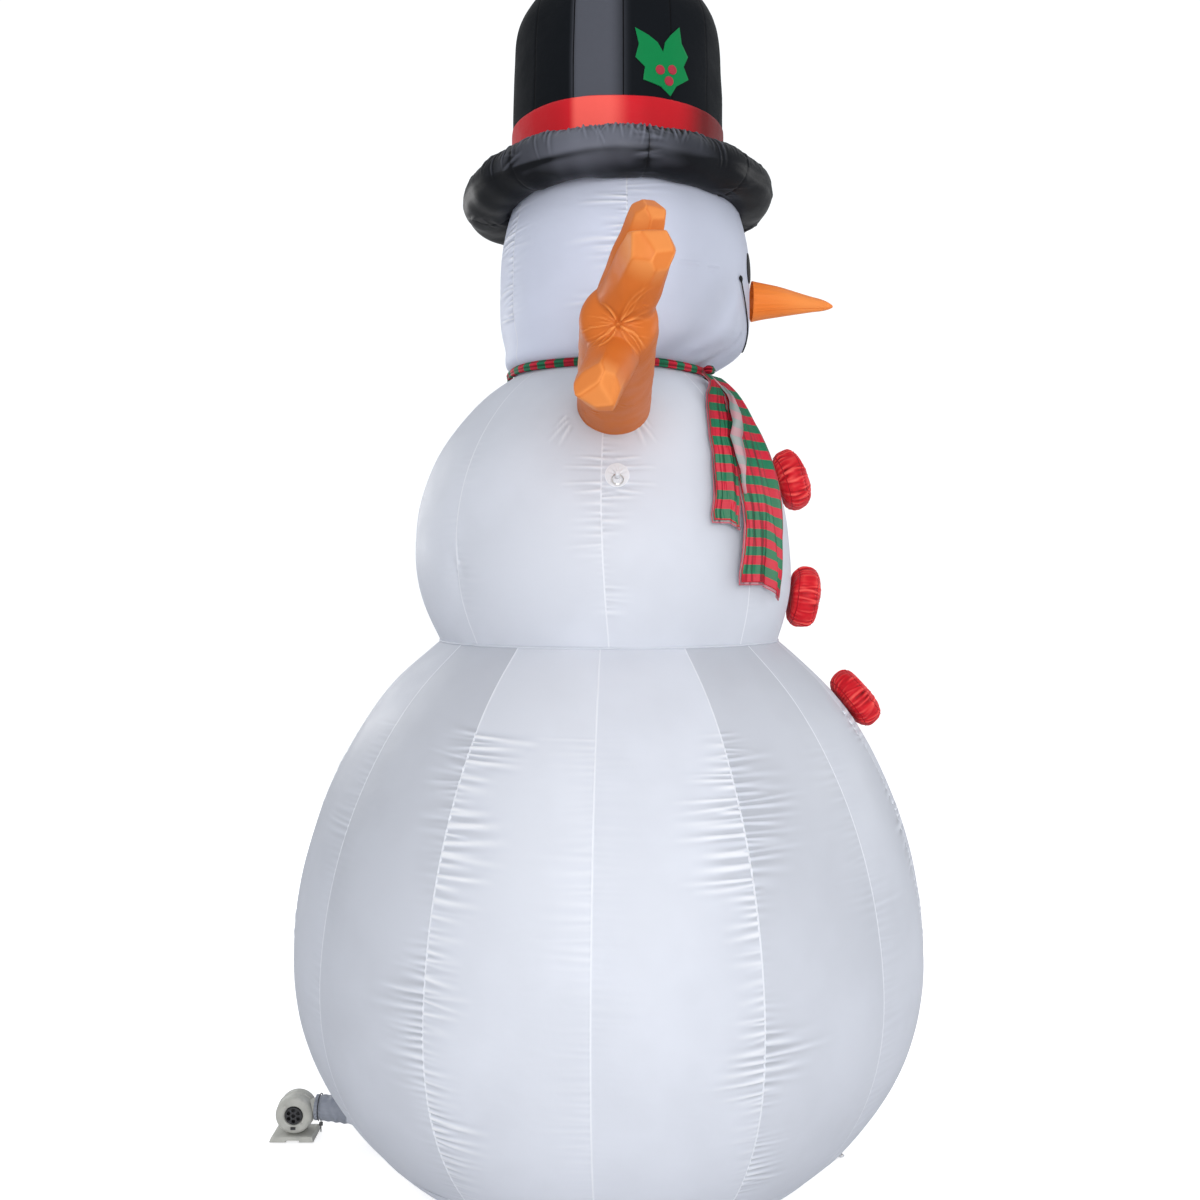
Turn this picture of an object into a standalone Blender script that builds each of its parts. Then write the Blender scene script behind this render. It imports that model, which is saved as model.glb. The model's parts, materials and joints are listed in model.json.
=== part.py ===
"""Giant inflatable yard snowman: three air-filled fabric balls, a top hat, stick arms, a scarf,
an external fan that feeds it through a fabric sleeve, and the small hardware sewn to it.

Metres, +Z up. The origin is the centre of the base panel on the ground. The snowman faces -Y, so its
own right arm points along -X. A heading is an angle from straight ahead (-Y) towards its right (-X).
"""

import bmesh
import bpy
from math import asin, atan2, cos, pi, radians, sin
from mathutils import Matrix, Vector

# ---- driving dimensions ---------------------------------------------------------------------------
WALL = 0.008  # thickness that stands for the coated fabric
GAP = 0.0005  # between sewn neighbours
GORES = 14  # fabric panels round the lower ball

BASE_INSET, BASE_THICK = 0.040, 0.006  # the base panel lies inside the lower ball's foot
BELLY_RADIUS, BELLY_HEIGHT = 1.609, 1.10  # widest ring of the lower ball
BELLY_RISE, BELLY_DROP = 1.85, 1.37  # half axes of its upper and lower halves
WAIST_HEIGHT = 2.65
CHEST_RADIUS, CHEST_HEIGHT = 0.980, 3.07  # widest ring of the middle ball
CHEST_RISE, CHEST_DROP = 1.09, 0.95
CHEST_LEAN = -0.035  # the shoulders sit this far behind the waist
NECK_HEIGHT = 4.02
HEAD_RADIUS, HEAD_HEIGHT = 0.655, 4.40
HEAD_RISE, HEAD_DROP = 0.72, 0.452
HEAD_FORWARD, HEAD_OVERHANG = 0.084, 0.17  # how far the head juts forward, and over what height
HEAD_TOP = 4.835  # the brim rests just above
DRUM = 3.0  # exponent of the head's outline: 2 is an ellipse, more is squarer

HAT_FORWARD = 0.045
CROWN_RADIUS, CROWN_TOP, CROWN_SHOULDER = 0.535, 6.10, 5.72
BRIM_HEIGHT, BRIM_RADIUS = 4.945, 0.68  # centre line of the inflated brim
BRIM_WIDE, BRIM_TALL = 0.137, 0.112  # half sizes of its section
BRIM_CURL, BRIM_FRONT, BRIM_BACK = 0.030, 0.014, -0.026  # lift at its sides, front and back
BAND_BOTTOM, BAND_TOP, BAND_THICK = 5.075, 5.295, 0.004

NOSE_HEIGHT, NOSE_RADIUS, NOSE_LENGTH = 4.43, 0.106, 0.43
NOSE_ROWS, NOSE_DROOP = 8, 0.028
EYE_HEIGHT, EYE_HEADING = 4.56, radians(14.5)
EYE_SIZE = (0.052, 0.080, 0.010)  # half width, half height, thickness
SMILE_TOP, SMILE_DEPTH, SMILE_HEADING = 4.485, 0.315, radians(30)
SMILE_LINE = 0.0075

HOLLY_HEADING, HOLLY_HEIGHT, HOLLY_LEAN = radians(66.0), 5.472, radians(10)
HOLLY_THICK, BERRY_RADIUS, BERRY_RISE = 0.004, 0.024, 0.010
BERRIES = {  # across and up from the leaf's middle
    "holly_berry_left": (-0.032, -0.044),
    "holly_berry_right": (0.032, -0.044),
    "holly_berry_low": (0.004, -0.098),
}

WRAP_RADIUS, WRAP_DEEP, WRAP_TALL = 0.525, 0.014, 0.020  # section centre and half sizes
KNOT_HEADING = radians(28)
KNOT_SIZE = (0.11, 0.085, 0.055)
TAIL_LIFT, TAIL_THICK = 0.030, 0.006  # between the tails and the fabric behind them
LONG_TAIL = ((28, 38, 44), 0.29, 2.92)  # headings at its top, bend and end, width, bottom
SHORT_TAIL = ((36, 50, 56), 0.13, 3.22)
BUTTON_RADIUS, BUTTON_HALF = 0.165, 0.076
BUTTON_STAND = 0.006
BUTTON_HEIGHTS = {"button_top": 3.46, "button_middle": 2.88, "button_low": 2.29}

STICK_RADIUS, STICK_END = 0.168, 0.150
STICK_STEPS = 16
SHOULDER = Vector((0.62, -0.02, 3.755))  # the arm's axis starts inside the ball, left side
CROTCH = Vector((1.70, -0.04, 3.96))
ARM_GAP = 0.026  # room for the arm to sway

PATCH_HEADING, PATCH_HEIGHT, PATCH_RADIUS = radians(85.6), 3.43, 0.055
RING_RADIUS, RING_WIRE = 0.026, 0.0025
BRIDGE_HALF, BRIDGE_RISE, BRIDGE_WIRE = 0.016, 0.014, 0.0025
LOOP_HEADING = radians(8)
LOOP_LENGTH, LOOP_WIDTH, LOOP_THICK, LOOP_EYE = 0.235, 0.05, 0.006, 0.013

ZIP_HEIGHT, ZIP_START, ZIP_ARC = 0.46, radians(205), radians(34)
ZIP_HALF, ZIP_LIFT, ZIP_THICK = 0.024, 0.0055, 0.003  # the tape's half width, its outer face, its thickness
SLIDER_SIZE, SLIDER_LIFT = (0.026, 0.018, 0.008), 0.0125
FAN = Vector((0.06, 1.665, 0.132))  # centre of the fan drum
FAN_RADIUS, FAN_HALF, FAN_WALL = 0.098, 0.065, 0.004
SPIGOT_RADIUS, SPIGOT_LIFT, SPIGOT_LENGTH = 0.045, 0.02, 0.105
GRILLE_RADIUS, GRILLE_HOLE, GRILLE_RING = 0.045, 0.0105, 0.029
WHEEL_RADIUS, WHEEL_EYE, BLADE_ROOT, BLADE_DEEP = 0.072, 0.0056, 0.054, 0.036
FOOT_SIZE = (0.150, 0.215, 0.026)
SWITCH_SIZE = (0.005, 0.026, 0.014)
PLUG_SIZE = (0.042, 0.030, 0.022)
SLEEVE_RADIUS, SLEEVE_FOOT, SLEEVE_END = 0.062, 0.105, 1.12  # SLEEVE_END lies inside the ball
CORD_RADIUS = 0.0045
LAMP_HEIGHTS = {"led_lamp_low": 1.00, "led_lamp_middle": 3.15, "led_lamp_high": 4.52}

BALL_STEPS = 3 * GORES
ROUND_STEPS = 24
SMALL_STEPS = 14


# ---- scene ----------------------------------------------------------------------------------------
def clear_scene():
    for obj in list(bpy.data.objects):
        bpy.data.objects.remove(obj, do_unlink=True)


def new_collection(name, hidden=False):
    made = bpy.data.collections.new(name)
    bpy.context.scene.collection.children.link(made)
    made.hide_render = hidden
    return made


def principled(name, colour, roughness, metallic=0.0):
    material = bpy.data.materials.new(name)
    material.use_nodes = True
    shader = material.node_tree.nodes["Principled BSDF"]
    shader.inputs["Base Color"].default_value = (*colour, 1.0)
    shader.inputs["Roughness"].default_value = roughness
    shader.inputs["Metallic"].default_value = metallic
    material.diffuse_color = (*colour, 1.0)
    return material


clear_scene()
PARTS = new_collection("inflatable_yard_snowman")
CUTTERS = new_collection("cutters", hidden=True)

MATERIALS = {
    "snow": principled("snow_fabric", (0.80, 0.82, 0.88), 0.55),
    "base": principled("base_panel_fabric", (0.62, 0.64, 0.69), 0.7),
    "black": principled("hat_satin", (0.02, 0.022, 0.027), 0.42),
    "red": principled("red_satin", (0.62, 0.02, 0.03), 0.4),
    "green": principled("holly_satin", (0.0, 0.28, 0.09), 0.5),
    "stripes": principled("scarf_fabric", (0.45, 0.08, 0.07), 0.6),
    "orange": principled("nose_fabric", (0.86, 0.22, 0.04), 0.5),
    "bark": principled("arm_fabric", (0.55, 0.20, 0.06), 0.45),
    "ink": principled("face_applique", (0.012, 0.012, 0.014), 0.6),
    "webbing": principled("white_webbing", (0.72, 0.73, 0.76), 0.8),
    "zip": principled("zip_tape_fabric", (0.70, 0.71, 0.75), 0.8),
    "nickel": principled("nickel_hardware", (0.62, 0.62, 0.60), 0.3, 1.0),
    "housing": principled("fan_housing_plastic", (0.43, 0.43, 0.39), 0.5),
    "dark": principled("dark_plastic", (0.03, 0.03, 0.033), 0.5),
    "sleeve": principled("sleeve_fabric", (0.10, 0.10, 0.115), 0.6),
    "cable": principled("cable_rubber", (0.02, 0.02, 0.02), 0.6),
    "lamp": principled("lamp_lens", (0.85, 0.87, 0.92), 0.2),
    "motor": principled("motor_steel", (0.50, 0.50, 0.52), 0.35, 1.0),
}


# ---- modelling helpers ----------------------------------------------------------------------------
def as_cutter(obj):
    """Takes a piece out of the parts, to be joined to or cut from another."""
    PARTS.objects.unlink(obj)
    CUTTERS.objects.link(obj)
    obj.hide_render = True
    obj.display_type = "WIRE"
    return obj


def add_object(name, mesh, material, home=None):
    obj = bpy.data.objects.new(name, mesh)
    (home or PARTS).objects.link(obj)
    if material:
        mesh.materials.append(MATERIALS[material])
    if home is CUTTERS:
        obj.hide_render = True
        obj.display_type = "WIRE"
    return obj


def mesh_from(name, build):
    """A mesh made by build(bm) on a bmesh."""
    bm = bmesh.new()
    build(bm)
    mesh = bpy.data.meshes.new(name)
    bm.to_mesh(mesh)
    bm.free()
    return mesh


def turned(name, profile, material, steps=ROUND_STEPS, arc=2 * pi, closed=False, home=None):
    """The profile, (radius, height) pairs from top to bottom down its outer side, turned about Z."""
    count = len(profile)
    edges = [(i, (i + 1) % count) for i in range(count if closed else count - 1)]
    mesh = bpy.data.meshes.new(name)
    mesh.from_pydata([(r, 0.0, z) for r, z in profile], edges, [])
    obj = add_object(name, mesh, material, home)
    screw = obj.modifiers.new("turn", "SCREW")
    screw.axis = "Z"
    screw.angle = arc
    screw.steps = screw.render_steps = steps
    screw.use_merge_vertices = True
    screw.merge_threshold = 0.0001
    return obj


def walled(obj, thickness=WALL, offset=-1.0):
    """Gives an open surface a wall, inwards unless the offset says otherwise."""
    solidify = obj.modifiers.new("wall", "SOLIDIFY")
    solidify.thickness = thickness
    solidify.offset = offset
    solidify.use_even_offset = True
    return obj


def frozen(obj):
    """Replaces the object's data with its evaluated mesh, welded, and drops the modifiers."""
    bpy.context.view_layer.update()
    graph = bpy.context.evaluated_depsgraph_get()
    mesh = bpy.data.meshes.new_from_object(obj.evaluated_get(graph))
    bm = bmesh.new()
    bm.from_mesh(mesh)
    bmesh.ops.remove_doubles(bm, verts=bm.verts, dist=0.00005)
    bm.to_mesh(mesh)
    bm.free()
    if obj.type == "MESH":
        obj.modifiers.clear()
        obj.data = mesh
        return obj
    made = bpy.data.objects.new(obj.name + "_mesh", mesh)
    for home in obj.users_collection:
        home.objects.link(made)
    made.matrix_world = obj.matrix_world
    made.hide_render = obj.hide_render
    made.display_type = obj.display_type
    name = obj.name
    bpy.data.objects.remove(obj, do_unlink=True)
    made.name = name
    return made


def moved(obj, place):
    """Moves every vertex to place(vertex position)."""
    for vertex in obj.data.vertices:
        vertex.co = place(vertex.co.copy())
    return obj


def combine(obj, other, operation):
    boolean = obj.modifiers.new(f"{operation.lower()}_{other.name}", "BOOLEAN")
    boolean.operation = operation
    boolean.object = other
    return obj


def cut(obj, cutter):
    return combine(obj, cutter, "DIFFERENCE")


def smooth(obj, angle=radians(35)):
    obj.data.shade_smooth()
    obj.data.set_sharp_from_angle(angle=angle)
    return obj


def bevelled(obj, width, segments=2):
    bevel = obj.modifiers.new("round", "BEVEL")
    bevel.width = width
    bevel.segments = segments
    bevel.limit_method = "ANGLE"
    return obj


def box(name, size, centre, material, home=None):
    """A box of the given size, its scale already applied."""

    def build(bm):
        bmesh.ops.create_cube(bm, size=1.0)
        bmesh.ops.scale(bm, vec=Vector(size), verts=bm.verts)

    obj = add_object(name, mesh_from(name, build), material, home)
    obj.location = centre
    return obj


def cylinder(name, radius, depth, centre, material, steps=ROUND_STEPS, home=None):
    def build(bm):
        bmesh.ops.create_cone(
            bm, cap_ends=True, segments=steps, radius1=radius, radius2=radius, depth=depth
        )

    obj = add_object(name, mesh_from(name, build), material, home)
    obj.location = centre
    return obj


def tube(name, points, radius, material, widths=None, cyclic=False):
    """A round wire along straight runs between the points; widths scale its radius point by point."""
    curve = bpy.data.curves.new(name, "CURVE")
    curve.dimensions = "3D"
    curve.bevel_depth = radius
    curve.bevel_resolution = 2
    curve.use_fill_caps = True
    spline = curve.splines.new("POLY")
    spline.points.add(len(points) - 1)
    spline.use_cyclic_u = cyclic
    for number, (control, point) in enumerate(zip(spline.points, points)):
        control.co = (*point, 1.0)
        control.radius = widths[number] if widths else 1.0
    curve.materials.append(MATERIALS[material])
    obj = bpy.data.objects.new(name, curve)
    PARTS.objects.link(obj)
    return obj


def plate(name, outlines, thickness, material):
    """Flat outlines, the later ones holes, filled and given a thickness, as a mesh in the XY plane."""
    curve = bpy.data.curves.new(name, "CURVE")
    curve.dimensions = "2D"
    curve.fill_mode = "BOTH"
    curve.extrude = thickness / 2
    for outline in outlines:
        spline = curve.splines.new("POLY")
        spline.points.add(len(outline) - 1)
        spline.use_cyclic_u = True
        for control, (x, y) in zip(spline.points, outline):
            control.co = (x, y, 0.0, 1.0)
    curve.materials.append(MATERIALS[material])
    obj = bpy.data.objects.new(name, curve)
    PARTS.objects.link(obj)
    return frozen(obj)


def ring_of(radius, count, centre=(0.0, 0.0), phase=0.0):
    turns = [phase + 2 * pi * i / count for i in range(count)]
    return [(centre[0] + radius * cos(t), centre[1] + radius * sin(t)) for t in turns]


def strip(name, across, along, place, thickness, material):
    """A strip of fabric: place(u, v) gives each point, u from -1 to 1 across and v from 0 to 1 along."""

    def build(bm):
        bmesh.ops.create_grid(bm, x_segments=across, y_segments=along, size=1.0)
        for vertex in bm.verts:
            vertex.co = place(vertex.co.x, (vertex.co.y + 1) / 2)

    obj = add_object(name, mesh_from(name, build), material)
    return walled(obj, thickness, 1.0)


# ---- the body's surfaces --------------------------------------------------------------------------
def lerp(a, b, t):
    return a + (b - a) * t


def ease(t):
    t = min(1.0, max(0.0, t))
    return t * t * (3 - 2 * t)


def heading(angle):
    """The level direction at this heading."""
    return Vector((-sin(angle), -cos(angle), 0.0))


def oval(radius, height, middle, rise, drop, power=2.0):
    """Radius at a height on a turned oval with a different half axis above and below its middle."""
    reach = abs(height - middle) / (rise if height > middle else drop)
    return radius * (1 - reach**power) ** (1 / power)


BELLY = (BELLY_HEIGHT, BELLY_RISE, BELLY_DROP)
CHEST = (CHEST_HEIGHT, CHEST_RISE, CHEST_DROP)
HEAD = (HEAD_HEIGHT, HEAD_RISE, HEAD_DROP)


def belly(height):
    return oval(BELLY_RADIUS, height, *BELLY)


def chest(height):
    return oval(CHEST_RADIUS, height, *CHEST)


def skull(height):
    return oval(HEAD_RADIUS, height, *HEAD, DRUM)


def chest_lean(height):
    """How far the middle ball's ring at this height sits ahead of the origin: minus is behind."""
    share = (height - WAIST_HEIGHT) / (NECK_HEIGHT - WAIST_HEIGHT)
    return CHEST_LEAN * sin(pi * min(1.0, max(0.0, share)))


def head_lean(height):
    return HEAD_FORWARD * ease((height - NECK_HEIGHT) / HEAD_OVERHANG)


def on_ring(radius, ahead, angle, height):
    """A point at this heading on a ring whose centre sits ahead of the origin."""
    return heading(angle) * radius + Vector((0.0, -ahead, height))


def on_chest(angle, height, out=0.0):
    return on_ring(chest(height) + out, chest_lean(height), angle, height)


def on_belly(angle, height, out=0.0):
    return on_ring(belly(height) + out, 0.0, angle, height)


def on_head(angle, height, out=0.0):
    return on_ring(skull(height) + out, head_lean(height), angle, height)


def facing(surface, angle, height):
    """Outward normal of a surface function at this heading and height."""
    step = 0.002
    up = surface(angle, height + step) - surface(angle, height - step)
    side = surface(angle + step, height) - surface(angle - step, height)
    return up.cross(side).normalized()


def seat(point, normal):
    """A matrix that lays local Z along the normal, with local Y as near to up as it can be."""
    z = normal.normalized()
    x = Vector((0.0, 0.0, 1.0)).cross(z).normalized()
    turn = Matrix((x, z.cross(x), z)).transposed()
    return Matrix.Translation(point) @ turn.to_4x4()


def heights(top, bottom, rows, middle, rise, drop):
    """Heights from top to bottom, at even turns round the oval's section."""
    up = asin((top - middle) / rise)
    down = -asin((middle - bottom) / drop)
    turns = [lerp(up, down, row / rows) for row in range(rows + 1)]
    found = [middle + (rise if turn > 0 else drop) * sin(turn) for turn in turns]
    return [top, *found[1:-1], bottom]


# ---- balls ----------------------------------------------------------------------------------------
def make_lower_ball():
    """The ball's shell, open at the waist and where the sleeve feeds it, and its base panel."""
    profile = [(belly(z), z) for z in heights(WAIST_HEIGHT - GAP, 0.0, 11, *BELLY)]
    ball = frozen(walled(turned("lower_ball", profile, "snow", BALL_STEPS)))
    # The fabric's inner edge at the base is levelled with the outer one, so that it rests flat.
    moved(ball, lambda p: Vector((p.x, p.y, max(0.0, min(p.z, WAIST_HEIGHT - GAP)))))
    centre = (FAN.x, 1.2, FAN.z + SPIGOT_LIFT)
    inlet = cylinder("inlet_cutter", SPIGOT_RADIUS, 0.6, centre, None, 24, CUTTERS)
    inlet.rotation_euler = (pi / 2, 0.0, 0.0)
    cut(ball, inlet)
    smooth(ball)
    middle = (0.0, 0.0, BASE_THICK / 2)
    cylinder("base_panel", belly(0.0) - BASE_INSET, BASE_THICK, middle, "base", BALL_STEPS)


def make_middle_ball():
    top, bottom = NECK_HEIGHT - GAP, WAIST_HEIGHT + GAP
    profile = [(chest(z), z) for z in heights(top, bottom, 8, *CHEST)]
    ball = frozen(walled(turned("middle_ball", profile, "snow", ROUND_STEPS)))
    moved(ball, lambda p: Vector((p.x, p.y - chest_lean(p.z), max(bottom, min(p.z, top)))))
    smooth(ball)


def make_head():
    bottom = NECK_HEIGHT + GAP
    profile = [(skull(z), z) for z in heights(HEAD_TOP, bottom, 8, *HEAD)]
    head = frozen(walled(turned("head", profile, "snow", ROUND_STEPS)))
    moved(head, lambda p: Vector((p.x, p.y - head_lean(p.z), max(bottom, p.z))))
    smooth(head)


# ---- hat ------------------------------------------------------------------------------------------
def brim_lift(point):
    """The brim curls up at both sides and droops at the back."""
    turn = atan2(-point.x, -point.y)
    ends = lerp(BRIM_BACK, BRIM_FRONT, (1 + cos(turn)) / 2)
    return BRIM_CURL * sin(turn) ** 2 + ends * cos(turn) ** 2


def make_hat():
    crown_bottom = HEAD_TOP + 0.01
    corner = 6
    profile = []
    for step in range(corner):
        turn = pi / 2 * step / corner
        flat = CROWN_RADIUS * sin(turn) ** 0.8
        profile.append((flat, CROWN_SHOULDER + (CROWN_TOP - CROWN_SHOULDER) * cos(turn)))
    profile += [(CROWN_RADIUS, lerp(CROWN_SHOULDER, crown_bottom, t / 3)) for t in range(4)]
    crown = walled(turned("hat_crown", profile, "black"))

    section = [
        (BRIM_RADIUS + BRIM_WIDE * sin(t), BRIM_HEIGHT + BRIM_TALL * cos(t))
        for t in (2 * pi * i / 10 for i in range(10))
    ]
    brim = turned("hat_brim", section, "black", 32, closed=True)
    moved(frozen(brim), lambda p: p + Vector((0.0, 0.0, brim_lift(p))))

    band_radius = CROWN_RADIUS + GAP + BAND_THICK
    band = turned("hat_band", [(band_radius, BAND_TOP), (band_radius, BAND_BOTTOM)], "red")
    walled(band, BAND_THICK)
    for piece in (crown, brim, band):
        piece.location.y = -HAT_FORWARD
        smooth(frozen(piece))


def wrap_on_crown(point, out):
    """Leans a flat point of the holly (x across, y up, z off the fabric) and bends it round the crown."""
    point = Matrix.Rotation(HOLLY_LEAN, 3, "Z") @ point
    angle = HOLLY_HEADING - point.x / CROWN_RADIUS
    centre = Vector((0.0, -HAT_FORWARD, HOLLY_HEIGHT + point.y))
    return centre + heading(angle) * (CROWN_RADIUS + out + point.z)


def make_holly():
    right = [
        (0.042, -0.122),
        (0.124, -0.084),
        (0.104, -0.024),
        (0.142, 0.026),
        (0.114, 0.088),
        (0.118, 0.168),
        (0.058, 0.126),
        (0.020, 0.090),
    ]
    outline = [(0.0, -0.170), *right, (0.0, 0.042), *[(-x, y) for x, y in reversed(right)]]
    leaf = plate("holly_leaf", [outline], HOLLY_THICK, "green")
    bm = bmesh.new()
    bm.from_mesh(leaf.data)
    for column in range(-5, 6):
        faces = bm.verts[:] + bm.edges[:] + bm.faces[:]
        bmesh.ops.bisect_plane(bm, geom=faces, plane_co=(column * 0.025, 0, 0), plane_no=(1, 0, 0))
    bm.to_mesh(leaf.data)
    bm.free()
    lift = HOLLY_THICK / 2 + 2 * GAP
    moved(leaf, lambda p: wrap_on_crown(p, lift))

    for name, (x, y) in BERRIES.items():
        profile = [(BERRY_RADIUS * sin(t), BERRY_RISE * cos(t)) for t in (pi * i / 12 for i in range(7))]
        berry = turned(name, [*profile, (0.0, 0.0)], "red", SMALL_STEPS)
        spot = wrap_on_crown(Vector((x, y, 0.0)), lift + HOLLY_THICK / 2 + 3 * GAP)
        axis = Vector((0.0, -HAT_FORWARD, spot.z))
        berry.matrix_world = seat(spot, spot - axis)
        smooth(berry)


# ---- face -----------------------------------------------------------------------------------------
def make_nose():
    profile = [(0.0, NOSE_LENGTH)]
    for row in range(1, NOSE_ROWS + 1):
        t = row / NOSE_ROWS
        profile.append((NOSE_RADIUS * (0.10 + 0.90 * t**0.88), NOSE_LENGTH * (1 - t) + 0.012 * (1 - t)))
    nose = turned("carrot_nose", [*profile, (0.0, 0.0)], "orange", 20)
    frozen(nose)
    moved(nose, lambda p: Vector((p.x, p.y - NOSE_DROOP * (p.z / NOSE_LENGTH) ** 2, p.z)))
    base = on_head(0.0, NOSE_HEIGHT, 0.012)
    nose.matrix_world = seat(base, Vector((0.0, -1.0, 0.0)))
    smooth(nose)


def make_eyes():
    for name, side in (("eye_right", 1), ("eye_left", -1)):
        profile = [(sin(t), cos(t)) for t in (pi * i / 12 for i in range(7))]
        eye = turned(name, [*profile, (0.0, 0.0)], "ink", SMALL_STEPS)
        frozen(eye)
        eye.data.transform(Matrix.Diagonal((*EYE_SIZE, 1.0)))
        spot = on_head(side * EYE_HEADING, EYE_HEIGHT, 0.008)
        eye.matrix_world = seat(spot, facing(on_head, side * EYE_HEADING, EYE_HEIGHT))
        smooth(eye)


def make_smile():
    count = 16
    points = []
    widths = []
    for number in range(count + 1):
        share = 2 * number / count - 1
        height = SMILE_TOP - SMILE_DEPTH * (1 - abs(share) ** 2.2)
        widths.append(1.8 if number in (0, count) else 1.0)
        points.append(on_head(SMILE_HEADING * share, height, SMILE_LINE * widths[-1] + 0.006))
    tube("smile", points, SMILE_LINE, "ink", widths)


# ---- scarf ----------------------------------------------------------------------------------------
def make_scarf():
    section = [
        (WRAP_RADIUS + WRAP_DEEP * sin(t), NECK_HEIGHT + WRAP_TALL * cos(t))
        for t in (2 * pi * i / 6 for i in range(6))
    ]
    smooth(frozen(turned("scarf_wrap", section, "stripes", 36, closed=True)))

    knot_place = on_ring(WRAP_RADIUS + 0.055, 0.0, KNOT_HEADING, NECK_HEIGHT + 0.012)
    knot = add_object("scarf_knot", mesh_from("scarf_knot", knot_shape), "stripes")
    knot.matrix_world = seat(knot_place, heading(KNOT_HEADING))
    subdivide = knot.modifiers.new("soften", "SUBSURF")
    subdivide.levels = subdivide.render_levels = 2
    smooth(knot)

    def tail(headings, width, bottom):
        """Hangs from the knot over the chest, through the headings at its top, bend and end."""
        angles = [radians(turn) for turn in headings]
        top = NECK_HEIGHT - 0.045
        bend = 0.45

        def place(u, v):
            height = lerp(top, bottom, v)
            above = lerp(angles[0], angles[1], ease(v / bend))
            angle = lerp(above, angles[2], max(0.0, v - bend) / (1 - bend))
            half = width / 2 * (0.34 + 0.66 * ease(3.0 * v))
            out = TAIL_LIFT * (1 + 1.2 * (1 - ease(4 * v)))
            return on_chest(angle + u * half / (chest(height) + out), height, out)

        return place

    strip("scarf_tail_long", 6, 18, tail(*LONG_TAIL), TAIL_THICK, "stripes")
    strip("scarf_tail_short", 4, 14, tail(*SHORT_TAIL), TAIL_THICK, "stripes")


def knot_shape(bm):
    bmesh.ops.create_cube(bm, size=1.0)
    bmesh.ops.scale(bm, vec=Vector(KNOT_SIZE), verts=bm.verts)


# ---- buttons --------------------------------------------------------------------------------------
def make_buttons():
    rows = 8
    for name, height in BUTTON_HEIGHTS.items():
        profile = []
        for row in range(rows + 1):
            turn = pi * row / rows
            across = abs(sin(turn)) ** 0.62
            deep = (1 if cos(turn) >= 0 else -1) * abs(cos(turn)) ** 0.85
            profile.append((BUTTON_RADIUS * across, BUTTON_HALF * deep))
        button = turned(name, profile, "red", 20)
        surface = on_belly if height < WAIST_HEIGHT else on_chest
        normal = facing(surface, 0.0, height)
        button.matrix_world = seat(surface(0.0, height) + normal * (BUTTON_HALF + BUTTON_STAND), normal)
        smooth(button)


# ---- arms -----------------------------------------------------------------------------------------
def limb_profile(length, root, tip, grow=0.0):
    """A tapering inflated tube along +Z with a blunt domed tip, from the tip down to the open root."""
    dome = 4
    profile = []
    for step in range(dome):
        turn = pi / 2 * step / dome
        drop = 0.55 * tip * (1 - cos(turn))
        profile.append(((tip + grow) * sin(turn), length + grow - drop))
    shoulder = length - 0.55 * tip
    profile += [(lerp(tip, root, t / 5) + grow, lerp(shoulder, 0.0, t / 5)) for t in range(6)]
    return profile


def limb(name, start, end, root, tip, steps, cutters=(), grow=0.0, home=None):
    way = end - start
    obj = turned(name, limb_profile(way.length, root, tip, grow), "bark", steps, home=home)
    if grow:
        obj = frozen(obj)
        bm = bmesh.new()
        bm.from_mesh(obj.data)
        bmesh.ops.holes_fill(bm, edges=bm.edges[:])
        bmesh.ops.recalc_face_normals(bm, faces=bm.faces[:])
        bm.to_mesh(obj.data)
        bm.free()
    else:
        obj = frozen(walled(obj, 0.006))
        smooth(obj)
    turn = Vector((0.0, 0.0, 1.0)).rotation_difference(way.normalized())
    obj.matrix_world = Matrix.Translation(start) @ turn.to_matrix().to_4x4()
    for cutter in cutters:
        cut(obj, cutter)
    return obj


def make_arm(side, mirror):
    """The stick, then the three stubs that fork off its outer end. mirror is 1 for +X, -1 for -X."""

    def here(x, y, z):
        return Vector((mirror * x, y, z))

    shoulder = here(*SHOULDER)
    crotch = here(*CROTCH)
    knuckle = here(1.62, -0.03, 3.95)
    branch = here(1.74, -0.075, 4.10)
    ends = {
        "top_twig": (knuckle, here(1.84, -0.150, 4.335), 0.112, 0.062, 10),
        "front_twig": (branch, here(2.00, -0.165, 4.14), 0.092, 0.080, 8),
        "low_twig": (knuckle, here(1.94, 0.045, 3.62), 0.104, 0.086, 8),
    }
    body = ball_cutter()
    limb(f"{side}_arm_stick", shoulder, crotch, STICK_RADIUS, STICK_END, STICK_STEPS, [body])
    stick = limb(
        f"{side}_stick_cutter", shoulder, crotch, STICK_RADIUS, STICK_END, STICK_STEPS, grow=GAP, home=CUTTERS
    )
    top = limb(f"{side}_top_cutter", *ends["top_twig"], grow=GAP, home=CUTTERS)
    for name, (start, end, root, tip, steps) in ends.items():
        cutters = [stick] if name == "top_twig" else [stick, top]
        limb(f"{side}_arm_{name}", start, end, root, tip, steps, cutters)


def ball_cutter():
    """The middle ball, grown by the arm's room, once for both arms."""
    name = "chest_cutter"
    if name in bpy.data.objects:
        return bpy.data.objects[name]
    profile = [(chest(z) + ARM_GAP, z) for z in heights(NECK_HEIGHT, WAIST_HEIGHT, 12, *CHEST)]
    profile = [(0.0, NECK_HEIGHT), *profile, (0.0, WAIST_HEIGHT)]
    ball = frozen(turned(name, profile, None, ROUND_STEPS, home=CUTTERS))
    return moved(ball, lambda p: Vector((p.x, p.y - chest_lean(p.z), p.z)))


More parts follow.
